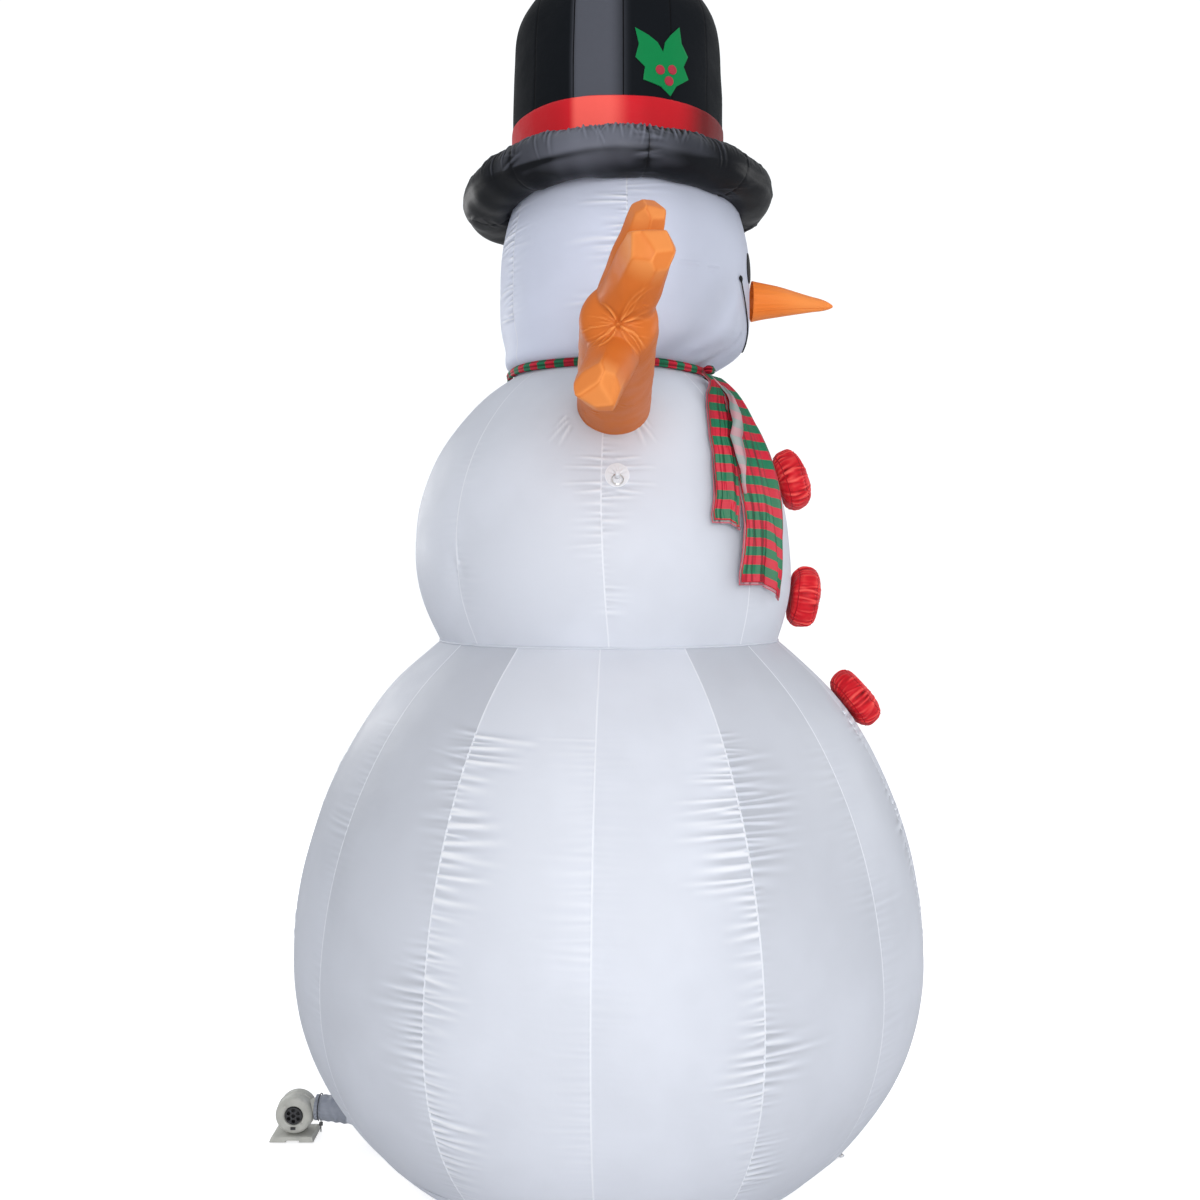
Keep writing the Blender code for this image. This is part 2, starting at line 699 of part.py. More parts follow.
# ---- tether points and stake loops ----------------------------------------------------------------
def make_tether(side, sign):
    """A round reinforcing patch with a webbing bridge, and the ring that hangs in the bridge."""
    angle = sign * PATCH_HEADING
    normal = facing(on_chest, angle, PATCH_HEIGHT)
    patch_centre = on_chest(angle, PATCH_HEIGHT, 0.005)
    frame = seat(patch_centre, normal)
    patch = frozen(cylinder(f"shoulder_patch_{side}", PATCH_RADIUS, 0.004, (0, 0, 0), "webbing", 24))
    span, rise = BRIDGE_HALF, BRIDGE_RISE
    legs = [(0, span, -0.001), (0, span * 0.9, rise), (0, -span * 0.9, rise), (0, -span, -0.001)]
    bridge = as_cutter(frozen(tube(f"bridge_{side}", legs, BRIDGE_WIRE, "webbing")))
    frozen(combine(patch, bridge, "UNION"))
    patch.matrix_world = frame

    # The ring's wire passes under the bridge, and the ring lies down the fabric, lifted a little off it.
    across, up, out = frame.to_3x3().col
    pin = patch_centre + out * (0.002 + RING_WIRE + 0.003)
    hang = (out * 0.14 - up).normalized()
    section = [
        (RING_RADIUS + RING_WIRE * sin(t), RING_WIRE * cos(t)) for t in (2 * pi * i / 6 for i in range(6))
    ]
    ring = turned(f"tether_ring_{side}", section, "nickel", 20, closed=True)
    ring.matrix_world = seat_axis(pin + hang * RING_RADIUS, across.cross(hang), hang)
    smooth(ring)


def seat_axis(point, axis, side):
    """A matrix that lays local Z along the axis and local X along side."""
    z = axis.normalized()
    x = (side - z * side.dot(z)).normalized()
    turn = Matrix((x, z.cross(x), z)).transposed()
    return Matrix.Translation(point) @ turn.to_4x4()


def make_stake_loops():
    half = LOOP_WIDTH / 2
    tip = [(LOOP_LENGTH - half + half * sin(t), half * cos(t)) for t in (pi * i / 8 for i in range(9))]
    outline = [(0.0, half), *tip, (0.0, -half)]
    hole = ring_of(LOOP_EYE, 12, (LOOP_LENGTH - half, 0.0))
    for number, name in enumerate(("front", "right", "back", "left")):
        loop = plate(f"stake_loop_{name}", [outline, hole], LOOP_THICK, "webbing")
        angle = LOOP_HEADING + number * pi / 2
        if name == "back":
            angle += radians(18)
        out = heading(angle)
        turn = Matrix.Rotation(atan2(out.y, out.x), 4, "Z")
        loop.matrix_world = Matrix.Translation(out * (belly(0.0) + 0.025) + Vector((0, 0, 0.004))) @ turn


# ---- zip ------------------------------------------------------------------------------------------
def make_zip():
    profile = [(belly(z) + ZIP_LIFT, z) for z in (ZIP_HEIGHT + ZIP_HALF, ZIP_HEIGHT, ZIP_HEIGHT - ZIP_HALF)]
    tape = turned("zip_tape", profile, "zip", 14, arc=ZIP_ARC)
    walled(tape, ZIP_THICK)
    # A turned profile starts at +X and runs towards +Y.
    begin = heading(ZIP_START)
    tape.rotation_euler.z = atan2(begin.y, begin.x)
    smooth(frozen(tape))

    spot_angle = ZIP_START - radians(3)
    normal = facing(on_belly, spot_angle, ZIP_HEIGHT)
    frame = seat(on_belly(spot_angle, ZIP_HEIGHT) + normal * SLIDER_LIFT, normal)
    slider = box("zip_slider", SLIDER_SIZE, (0, 0, 0), "nickel")
    bevelled(slider, 0.0025)
    slider.matrix_world = frame
    outline = [(-0.006, 0.0), (-0.008, -0.045), (0.008, -0.045), (0.006, 0.0)]
    pull = plate("zip_pull", [outline], 0.0025, "nickel")
    pull.matrix_world = frame @ Matrix.Translation((0.0, -0.002, 0.0075))


# ---- fan ------------------------------------------------------------------------------------------
def along_x(obj, offset=0.0):
    """Lays a piece turned about Z along X, at the fan's centre."""
    obj.matrix_world = Matrix.Translation(FAN + Vector((offset, 0, 0))) @ Matrix.Rotation(pi / 2, 4, "Y")
    return obj


def cup_profile(hole):
    """Half of the drum, from the hole in its outer face to the rim at the split, along +Z."""
    corner = 0.020
    points = [(hole, FAN_HALF)]
    for step in range(5):
        turn = pi / 2 * step / 4
        across = FAN_RADIUS - corner + corner * sin(turn)
        points.append((across, FAN_HALF - corner + corner * cos(turn)))
    return [*points, (FAN_RADIUS, 0.0003)]


def make_fan():
    spigot_centre = FAN + Vector((0.0, -0.125, SPIGOT_LIFT))
    mouth = cylinder("spigot_cutter", SPIGOT_RADIUS + GAP, 0.12, spigot_centre, None, 24, CUTTERS)
    mouth.rotation_euler = (pi / 2, 0.0, 0.0)

    for name, side, hole in (("blower_shell_right", -1, 0.046), ("blower_shell_left", 1, 0.006)):
        shell = frozen(walled(turned(name, cup_profile(hole), "housing", 20), FAN_WALL))
        turn = Matrix.Rotation(side * pi / 2, 4, "Y")
        shell.matrix_world = Matrix.Translation(FAN) @ turn
        cut(shell, mouth)
        smooth(shell)

    spigot = turned("outlet_spigot", [(SPIGOT_RADIUS, 0.0), (SPIGOT_RADIUS, -SPIGOT_LENGTH)], "housing", 24)
    walled(spigot, 0.003)
    place = FAN + Vector((0.0, -0.075, SPIGOT_LIFT))
    spigot.matrix_world = Matrix.Translation(place) @ Matrix.Rotation(-pi / 2, 4, "X")
    smooth(frozen(spigot))

    holes = [ring_of(GRILLE_HOLE, 10, spot) for spot in ((0.0, 0.0), *ring_of(GRILLE_RING, 6))]
    grille = plate("intake_grille", [ring_of(GRILLE_RADIUS, 32), *holes], 0.004, "dark")
    along_x(grille, -FAN_HALF + 0.004)

    wheel = plate("impeller", [ring_of(WHEEL_RADIUS, 32), ring_of(WHEEL_EYE, 12)], 0.004, "dark")
    blades = []
    for number in range(32):
        turn = 2 * pi * number / 32
        reach_out = WHEEL_RADIUS if number % 4 < 2 else BLADE_ROOT
        blades.append((reach_out * cos(turn), reach_out * sin(turn)))
    cage = as_cutter(plate("impeller_cage", [blades, ring_of(0.046, 24)], BLADE_DEEP, "dark"))
    cage.location.z = -0.001 - BLADE_DEEP / 2
    frozen(combine(wheel, cage, "UNION"))
    along_x(wheel, -0.006)

    motor_profile = [(0.0, 0.056), (0.034, 0.056), (0.036, 0.052), (0.036, 0.006), (0.010, 0.004)]
    motor_profile += [(0.005, 0.003), (0.005, -0.012), (0.0, -0.012)]
    motor = along_x(turned("fan_motor", motor_profile, "motor", 24))
    smooth(motor)

    foot = box("blower_base", FOOT_SIZE, (FAN.x, FAN.y + 0.006, 0.0155), "housing")
    for vertex in foot.data.vertices:
        if vertex.co.z < 0:
            vertex.co.x *= 1.16
            vertex.co.y *= 1.10
    bevelled(foot, 0.005)
    trough = cylinder("trough_cutter", FAN_RADIUS + 0.0006, 0.4, FAN, None, 48, CUTTERS)
    trough.rotation_euler = (0.0, pi / 2, 0.0)
    tunnel = box("tunnel_cutter", (0.5, 0.07, 0.024), (FAN.x, FAN.y, 0.0), None, CUTTERS)
    cut(cut(foot, trough), tunnel)

    face = FAN.x - FAN_HALF
    switch = box("power_switch", SWITCH_SIZE, (face - 0.0048, FAN.y, FAN.z - 0.062), "dark")
    bevelled(switch, 0.0012)

    for name, lift in (("shell_screw_high", 0.064), ("shell_screw_low", -0.050)):
        head = [(0.0, 0.0035), (0.0035, 0.0035), (0.0052, 0.002), (0.0055, 0.0), (0.0, 0.0)]
        screw = turned(name, head, "nickel", 12)
        spot = Vector((face - 0.0006, FAN.y + 0.042 * (1 if lift > 0 else -1), FAN.z + lift * 0.75))
        screw.matrix_world = Matrix.Translation(spot) @ Matrix.Rotation(-pi / 2, 4, "Y")
        smooth(screw)


def make_power_cord():
    """The cord leaves the left shell, steps over its own coil and winds outwards to the plug."""
    side = FAN.x + FAN_HALF
    start = Vector((side + 0.002, FAN.y, FAN.z - 0.055))
    centre = Vector((side + 0.21, FAN.y, 0.0))
    inner, outer, turns, per_turn = 0.070, 0.115, 2.5, 11
    points = [start, start + Vector((0.03, 0.0, 0.0)), start + Vector((0.075, 0.0, -0.045))]
    points.append(centre + Vector((-inner - 0.022, 0.0, 0.024)))
    steps = int(turns * per_turn)
    for step in range(steps + 1):
        share = step / steps
        turn = pi - 2 * pi * turns * share
        radius = lerp(inner, outer, share)
        points.append(centre + Vector((radius * cos(turn), radius * sin(turn), 0.0055)))
    way = (points[-1] - points[-2]).normalized()
    plug_start = points[-1] + way * 0.05 + Vector((0.0, 0.0, 0.0065))
    tube("power_cord", [*points, plug_start], CORD_RADIUS, "cable")

    plug = box("power_plug", PLUG_SIZE, (0, 0, 0), "cable")
    for vertex in plug.data.vertices:
        if vertex.co.x < 0:
            vertex.co.y *= 0.6
            vertex.co.z *= 0.6
    bevelled(plug, 0.004)
    turn = Matrix.Rotation(atan2(way.y, way.x), 4, "Z")
    plug.matrix_world = Matrix.Translation(plug_start + way * 0.0225) @ turn


def make_sleeve():
    """The fabric sleeve from the fan's spigot to the ball, widening to its gathered foot."""
    start = FAN.y - SPIGOT_LENGTH
    length = start - SLEEVE_END
    rows = 5
    profile = []
    for row in range(rows + 1):
        t = row / rows
        profile.append((lerp(SLEEVE_RADIUS, SLEEVE_FOOT, t**1.6), -length * t))
    sleeve = turned("feed_sleeve", profile, "sleeve", 18)
    frozen(walled(sleeve, 0.005))
    place = Vector((FAN.x, start, FAN.z + SPIGOT_LIFT))
    sleeve.matrix_world = Matrix.Translation(place) @ Matrix.Rotation(-pi / 2, 4, "X")
    profile = [(belly(z) + 0.003, z) for z in heights(1.0, 0.0, 8, *BELLY)]
    ball = frozen(turned("belly_cutter", [(0, 1.0), *profile, (0, 0.0)], None, 4 * BALL_STEPS, home=CUTTERS))
    cut(sleeve, ball)
    smooth(sleeve)

    ring = SLEEVE_RADIUS + 0.0055
    centre = place + Vector((0.0, -0.022, 0.0))
    points = []
    for step in range(17):
        turn = -pi / 2 + 2 * pi * step / 17 * 0.96
        points.append(centre + Vector((-ring * cos(turn + pi), 0.0, ring * sin(turn))))
    knot = points[0] + Vector((-0.002, -0.004, -0.004))
    drop = Vector((-0.42, -0.1, -0.9)).normalized()
    tail = [knot + drop * 0.055, knot]
    tube("sleeve_drawcord", [*tail, *points], 0.0028, "dark")

    barrel = [(0.0088, 0.010), (0.010, 0.007), (0.010, -0.007), (0.0088, -0.010)]
    barrel += [(0.0040, -0.010), (0.0040, 0.010)]
    lock = turned("cord_lock", barrel, "dark", SMALL_STEPS, closed=True)
    turn = Vector((0.0, 0.0, 1.0)).rotation_difference(drop)
    lock.matrix_world = Matrix.Translation(knot + drop * 0.016) @ turn.to_matrix().to_4x4()
    smooth(lock)


# ---- lights ---------------------------------------------------------------------------------------
def make_lights():
    """One cable up the middle with a lamp hanging beside it in each ball."""
    points = [Vector((0.0, 0.80, 0.016)), Vector((0.0, 0.45, 0.016)), Vector((0.0, 0.12, 0.05))]
    top = LAMP_HEIGHTS["led_lamp_high"] + 0.02
    rows = 18
    for row in range(rows + 1):
        height = lerp(0.14, top, row / rows)
        points.append(Vector((0.03 * sin(3 * height), 0.03 * cos(2 * height) + 0.02, height)))
    tube("led_cable", points, 0.006, "cable")
    for name, height in LAMP_HEIGHTS.items():
        profile = [(0.0, 0.0), (0.012, 0.0), (0.013, -0.022), (0.028, -0.030), (0.036, -0.055)]
        profile += [(0.030, -0.080), (0.014, -0.092), (0.0, -0.094)]
        lamp = turned(name, profile, "lamp", SMALL_STEPS)
        lamp.location = (0.03 * sin(3 * height) - 0.065, 0.03 * cos(2 * height) + 0.02, height)
        smooth(lamp)


make_lower_ball()
make_middle_ball()
make_head()
make_hat()
make_holly()
make_nose()
make_eyes()
make_smile()
make_scarf()
make_buttons()
make_arm("left", 1)
make_arm("right", -1)
make_tether("right", 1)
make_tether("left", -1)
make_stake_loops()
make_zip()
make_fan()
make_power_cord()
make_sleeve()
make_lights()
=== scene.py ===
"""The looks of a giant inflatable yard snowman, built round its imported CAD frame.

Metres, +Z up; the snowman faces -Y and its right arm points along -X. A heading is an angle from
straight ahead (-Y) towards its right side (-X). A "way" is a distance up the side of a turned form.
Every fabric mesh carries a "cloth" attribute: metres across, metres along, metres from the nearest seam.
"""

import json
from math import atan2, cos, pi, radians, sin

import bmesh
import bpy
import numpy as np
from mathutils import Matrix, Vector


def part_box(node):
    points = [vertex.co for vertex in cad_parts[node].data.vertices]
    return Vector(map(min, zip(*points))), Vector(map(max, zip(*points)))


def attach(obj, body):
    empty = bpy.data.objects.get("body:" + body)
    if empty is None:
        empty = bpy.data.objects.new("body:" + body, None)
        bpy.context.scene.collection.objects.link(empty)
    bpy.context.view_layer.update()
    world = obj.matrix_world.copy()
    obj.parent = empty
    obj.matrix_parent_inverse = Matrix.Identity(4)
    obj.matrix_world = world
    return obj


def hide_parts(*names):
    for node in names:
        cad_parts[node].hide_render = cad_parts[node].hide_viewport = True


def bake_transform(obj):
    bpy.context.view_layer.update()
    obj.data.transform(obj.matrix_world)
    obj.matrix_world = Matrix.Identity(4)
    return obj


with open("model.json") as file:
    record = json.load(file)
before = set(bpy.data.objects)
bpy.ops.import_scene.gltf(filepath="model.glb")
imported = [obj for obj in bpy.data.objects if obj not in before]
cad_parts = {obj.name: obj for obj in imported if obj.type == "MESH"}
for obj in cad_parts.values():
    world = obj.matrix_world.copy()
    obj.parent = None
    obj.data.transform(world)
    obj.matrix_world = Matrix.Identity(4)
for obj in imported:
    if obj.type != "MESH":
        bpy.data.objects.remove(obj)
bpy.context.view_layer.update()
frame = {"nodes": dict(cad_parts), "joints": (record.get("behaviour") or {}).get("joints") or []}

BODY = "snowman"
BELLY_GORES, BELLY_PHASE = 14, radians(92.6)  # one seam lies just behind the right side's middle
CHEST_GORES, CHEST_PHASE = 8, radians(90)
CROWN_PANELS, CROWN_PHASE = 14, radians(87.5)
STRIPE = 0.045  # length of one scarf stripe


# ---- reading the frame ----------------------------------------------------------------------------
def vertices_of(node):
    mesh = frame["nodes"][node].data
    flat = np.empty(len(mesh.vertices) * 3)
    mesh.vertices.foreach_get("co", flat)
    return flat.reshape(-1, 3)


def middle_of(node):
    low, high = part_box(node)
    return np.array((low + high) / 2)


def joint_anchor(name):
    joint = next(j for j in frame["joints"] if j["name"] == name)
    return np.array(joint["pos_m"], float)


def outer_rings(points):
    """(height, centre y, radius) of each ring of an upright turned form's outer skin, lowest first."""
    points = points[np.argsort(points[:, 2])]
    breaks = np.nonzero(np.diff(points[:, 2]) > 0.0001)[0] + 1
    outer = []
    for ring in np.split(points, breaks):
        low, high = ring.min(0), ring.max(0)
        found = (ring[:, 2].mean(), (low[1] + high[1]) / 2, (high[0] - low[0]) / 2)
        while len(outer) > 1 and bulge(outer[-2], outer[-1], found) <= 0:
            outer.pop()
        outer.append(found)
    return np.array(outer)


def bulge(a, b, c):
    """Positive when ring b stands outside the straight line from ring a to ring c."""
    return (b[2] - a[2]) * (c[0] - a[0]) - (b[0] - a[0]) * (c[2] - a[2])


def smooth_curve(knots, samples=1500):
    """A curve through the knots, rows of numbers, by natural cubics over their chord lengths."""
    gaps = np.linalg.norm(np.diff(knots, axis=0), axis=1)
    at = np.concatenate(([0.0], np.cumsum(gaps)))
    count = len(knots)
    system = np.eye(count)
    right = np.zeros_like(knots)
    for i in range(1, count - 1):
        system[i, i - 1 : i + 2] = gaps[i - 1], 2 * (gaps[i - 1] + gaps[i]), gaps[i]
        right[i] = 6 * ((knots[i + 1] - knots[i]) / gaps[i] - (knots[i] - knots[i - 1]) / gaps[i - 1])
    bend = np.linalg.solve(system, right)
    where = np.linspace(0.0, at[-1], samples)
    i = np.clip(np.searchsorted(at, where, side="right") - 1, 0, count - 2)
    gap = gaps[i][:, None]
    a = (at[i + 1] - where)[:, None] / gap
    b = 1 - a
    line = a * knots[i] + b * knots[i + 1]
    return line + ((a**3 - a) * bend[i] + (b**3 - b) * bend[i + 1]) * gap**2 / 6


# ---- surfaces -------------------------------------------------------------------------------------
def direction(angle):
    """Level unit vectors at these headings."""
    angle = np.asarray(angle, float)
    return np.stack((-np.sin(angle), -np.cos(angle), np.zeros_like(angle)), -1)


def wrapped(angle):
    """The same angle between -pi and pi."""
    return (angle + pi) % (2 * pi) - pi


def ease(t):
    """0 to 1 with soft ends as t goes from 0 to 1."""
    t = np.clip(t, 0.0, 1.0)
    return t * t * (3 - 2 * t)


def bell(x):
    """1 where x is 0, falling away softly on both sides."""
    return np.exp(-(x**2))


def grid_of(x, y, z):
    """Points from three coordinates, each a number, a row, a column or a grid."""
    return np.stack(np.broadcast_arrays(x, y, z), -1)


class Skin:
    """A turned CAD form's outer skin made smooth, with a valley along each seam between its gores."""

    def __init__(self, points, gores=1, phase=0.0, valley=0.0):
        rings = outer_rings(points)
        if rings[-1, 2] < 0.001:
            mirrored = rings[-2::-1] * (1, 1, -1)
            curve = smooth_curve(np.concatenate((rings, mirrored)), 3000)[:1500]
        else:
            curve = smooth_curve(rings)
        self.height, self.middle, self.radius = curve.T
        steps = np.hypot(np.diff(self.height), np.diff(self.radius))
        self.way = np.concatenate(([0.0], np.cumsum(steps)))
        self.gores, self.phase, self.valley = gores, phase, valley

    def way_at(self, height):
        return np.interp(height, self.height, self.way)

    def radius_at(self, way):
        return np.interp(way, self.way, self.radius)

    def share(self, angle):
        """0 at a seam, 1 midway between two."""
        turns = (np.asarray(angle) - self.phase) * self.gores / (2 * pi)
        return 1 - np.abs(2 * (turns % 1) - 1)

    def apart(self, angle, way):
        """Metres to the nearest seam."""
        return self.share(angle) * pi / self.gores * self.radius_at(way)

    def point(self, angle, way, out=0.0):
        ends = np.sqrt(np.sin(pi * np.clip(way / self.way[-1], 0.0, 1.0)))
        sunk = self.valley * ends * (1 - self.share(angle)) ** 2
        reach = self.radius_at(way) - sunk + out
        up = np.interp(way, self.way, self.height) + 0 * reach
        back = np.interp(way, self.way, self.middle) + 0 * reach
        return direction(angle) * reach[..., None] + np.stack((0 * reach, back, up), -1)

    def at(self, angle, height, out=0.0):
        """A point at a heading and a height."""
        return self.point(np.asarray(angle, float), self.way_at(height), out)

    def grid(self, angles, ways):
        return self.point(angles[None, :], ways[:, None])

    def seat(self, angle, height):
        """A turn that takes local Z to the outward normal and local Y up the skin."""
        step = 0.004
        up = self.at(angle, height + step) - self.at(angle, height - step)
        side = self.at(angle + step, height) - self.at(angle - step, height)
        z = Vector(np.cross(up, side)).normalized()
        y = Vector(up).normalized()
        return np.array((y.cross(z), y, z)).T


def gore_columns(gores, phase, shares):
    """Headings from one seam round to the same seam again; shares crowd the columns beside each seam."""
    one = np.concatenate((shares / 2, 1 - shares[-2:0:-1] / 2))
    turns = (np.arange(gores)[:, None] + one[None, :]).ravel()
    return phase + 2 * pi / gores * np.append(turns, gores)


def crowded(edge, count, power=1.5):
    """Shares from a seam (0) to the middle of a gore (1), with fixed ones close to the seam."""
    start = edge[-1]
    return np.concatenate((edge, start + (1 - start) * np.linspace(0, 1, count + 1)[1:] ** power))


def normals(points):
    """Outward unit normals of a grid whose rows climb and whose columns run towards greater headings."""
    up = np.gradient(points, axis=0)
    side = np.gradient(points, axis=1)
    cross = np.cross(up, side)
    return cross / np.maximum(np.linalg.norm(cross, axis=-1, keepdims=True), 1e-12)


def swell(points, seed, size, depth, waves=14):
    """Soft, uneven billows: a sum of waves in many directions, about size metres long."""
    rng = np.random.default_rng(seed)
    height = np.zeros(points.shape[:-1])
    for _ in range(waves):
        way = rng.normal(size=3)
        way *= 2 * pi / (size * rng.uniform(0.6, 1.7) * np.linalg.norm(way))
        height += np.sin(points @ way + rng.uniform(0, 2 * pi))
    return depth * height / np.sqrt(waves)


def fold(away, width):
    """A fold's section: a ridge with a shallow valley on each side."""
    x = (away / width) ** 2
    return (1 - x) * np.exp(-x / 2)


def crease(points, start, end, width, depth):
    """One straight fold, from its strong end at start to nothing at end."""
    start, end = np.asarray(start, float), np.asarray(end, float)
    run = end - start
    share = np.clip((points - start) @ run / (run @ run), 0.0, 1.0)
    away = np.linalg.norm(points - start - share[..., None] * run, axis=-1)
    return depth * fold(away, width) * (1 - share) ** 0.8 * ease(share * 6 + 0.3)


def gathers(way, apart, seed, depth, reach, size, span, spacing=0.046):
    """Folds that a gathered seam throws, square to it. apart is rows by columns, one side of the seam."""
    rng = np.random.default_rng(seed)
    low, high = span
    count = max(1, int((high - low) / spacing))
    strong = np.interp(np.linspace(0, 1, count), np.linspace(0, 1, 9), rng.uniform(0.0, 1.0, 9)) ** 1.4
    height = np.zeros_like(apart)
    for number in range(count):
        at = low + (high - low) * (number + rng.uniform(0.1, 0.9)) / count
        power = strong[number] * rng.uniform(0.5, 1.2)
        length = reach * (0.25 + 0.75 * strong[number]) * rng.uniform(0.45, 1.15)
        width = size * rng.uniform(0.7, 1.4)
        tilt = rng.normal(0.0, 0.05)
        rows = slice(*np.searchsorted(way, (at - 0.09, at + 0.09)))
        there = apart[rows]
        away = way[rows, None] - at - tilt * there
        fade = np.clip(1 - there / length, 0.0, 1.0) ** 1.2
        height[rows] += depth * power * fold(away, width * (1 + 0.7 * there / length)) * fade
    return height


# ---- making objects -------------------------------------------------------------------------------
def add_object(name, data):
    obj = bpy.data.objects.new(name, data)
    bpy.context.scene.collection.objects.link(obj)
    return obj


def thicken(piece, thickness, offset=0.0):
    """Gives a sheet its cloth's or wall's thickness, on both faces unless offset is -1."""
    wall = piece.modifiers.new("thickness", "SOLIDIFY")
    wall.thickness, wall.offset = thickness, offset


def sheet(name, points, material, cloth=None, flip=False, tone=None):
    """A mesh over a grid of points, rows by columns, facing outwards, with its cloth attribute.
    tone is a lightness painted into each point's colour: on most parts painted highlights and painted sheen
    where it is positive and painted shade where it is negative; on the nose it is random mottling, on the
    air sleeve it marks the pale gusset."""
    rows, columns = points.shape[:2]
    index = np.arange(rows * columns).reshape(rows, columns)
    corners = [index[:-1, :-1], index[1:, :-1], index[1:, 1:], index[:-1, 1:]]
    if flip:
        corners.reverse()
    faces = np.stack(corners, -1).reshape(-1, 4)
    mesh = bpy.data.meshes.new(name)
    mesh.from_pydata(points.reshape(-1, 3).tolist(), [], faces.tolist())
    mesh.shade_smooth()
    if cloth is not None:
        layer = mesh.attributes.new("cloth", "FLOAT_VECTOR", "POINT")
        layer.data.foreach_set("vector", np.asarray(cloth, np.float32).reshape(-1))
    if tone is not None:
        layer = mesh.attributes.new("tone", "FLOAT", "POINT")
        layer.data.foreach_set("value", np.asarray(tone, np.float32).reshape(-1))
    mesh.materials.append(material)
    return add_object(name, mesh)


def cloth_of(points, apart=None):
    """Metres across and along a grid of points, and metres from a seam."""
    rows, columns = points.shape[:2]
    across = np.linalg.norm(np.diff(points, axis=1), axis=-1).max(0)
    along = np.linalg.norm(np.diff(points, axis=0), axis=-1).max(1)
    x = np.concatenate(([0.0], np.cumsum(across)))[None, :] + np.zeros((rows, 1))
    y = np.concatenate(([0.0], np.cumsum(along)))[:, None] + np.zeros((1, columns))
    far = np.ones((rows, columns)) if apart is None else apart + np.zeros((rows, columns))
    return np.stack((x, y, far), -1)


def wire(name, points, radius, material):
    """A thin round thread through the points, as a mesh."""
    curve = bpy.data.curves.new(name, "CURVE")
    curve.dimensions = "3D"
    curve.bevel_depth = radius
    curve.bevel_resolution = 1
    curve.use_fill_caps = True
    spline = curve.splines.new("POLY")
    spline.points.add(len(points) - 1)
    for control, point in zip(spline.points, points):
        control.co = (*point, 1.0)
    maker = add_object(name + "_curve", curve)
    bpy.context.view_layer.update()
    graph = bpy.context.evaluated_depsgraph_get()
    mesh = bpy.data.meshes.new_from_object(maker.evaluated_get(graph))
    bpy.data.objects.remove(maker)
    mesh.name = name
    mesh.shade_smooth()
    mesh.materials.clear()
    mesh.materials.append(material)
    return add_object(name, mesh)


def stands(obj, slot, *nodes, body=BODY):
    """The piece rides on its body and stands for CAD nodes, which it hides; slot is not used."""
    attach(obj, body)
    if nodes:
        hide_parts(*nodes)
    return obj


# ---- materials ------------------------------------------------------------------------------------
def add_node(tree, kind, inputs=None, **settings):
    """A shader node with its settings; an input that is a socket is linked, any other is a value."""
    made = tree.nodes.new("ShaderNode" + kind)
    for name, value in settings.items():
        setattr(made, name, value)
    for key, value in (inputs or {}).items():
        if isinstance(value, bpy.types.NodeSocket):
            tree.links.new(value, made.inputs[key])
        else:
            made.inputs[key].default_value = value
    return made


def maths(tree, operation, *values):
    return add_node(tree, "Math", dict(enumerate(values)), operation=operation).outputs[0]


def between(tree, value, low, high, start=0.0, end=1.0):
    """value eased from low..high to start..end."""
    inputs = {"Value": value, "From Min": low, "From Max": high, "To Min": start, "To Max": end}
    return add_node(tree, "MapRange", inputs, interpolation_type="SMOOTHSTEP").outputs["Result"]


def mixed(tree, share, one, other, blend="MIX"):
    made = tree.nodes.new("ShaderNodeMix")
    made.data_type = "RGBA"
    made.blend_type = blend
    made.clamp_factor = True
    for socket, value in ((made.inputs[0], share), (made.inputs[6], one), (made.inputs[7], other)):
        if isinstance(value, bpy.types.NodeSocket):
            tree.links.new(value, socket)
        else:
            socket.default_value = value
    return made.outputs[2]


def rgb(*colour):
    return (*colour, 1.0)


def shade(colour, factor):
    return tuple(min(1.0, c * factor) for c in colour)


def new_material(name):
    material = bpy.data.materials.new(name)
    material.use_nodes = True
    return material, material.node_tree, material.node_tree.nodes["Principled BSDF"]


def noise(tree, scale, detail=4.0, vector=None):
    coords = vector or add_node(tree, "TexCoord").outputs["Object"]
    inputs = {"Vector": coords, "Scale": scale, "Detail": detail, "Roughness": 0.55}
    return add_node(tree, "TexNoise", inputs).outputs[0]


def cloth_parts(tree):
    """The cloth attribute's metres across, along and from a seam."""
    found = add_node(tree, "Attribute", attribute_name="cloth").outputs["Vector"]
    parts = add_node(tree, "SeparateXYZ", {0: found})
    return parts.outputs[0], parts.outputs[1], parts.outputs[2]


def bump_chain(tree, layers):
    """Bumps one over another: (height socket, distance in metres, strength) each."""
    below = None
    for height, distance, strength in layers:
        inputs = {"Height": height, "Distance": distance, "Strength": strength}
        if below is not None:
            inputs["Normal"] = below
        below = add_node(tree, "Bump", inputs).outputs[0]
    return below


def weave(tree, across, along, pitch):
    """Plain weave: threads over and under each other, pitch metres apart."""
    turn = 2 * pi / pitch
    one = maths(tree, "SINE", maths(tree, "MULTIPLY", across, turn))
    other = maths(tree, "SINE", maths(tree, "MULTIPLY", along, turn))
    return maths(tree, "MULTIPLY", one, other)


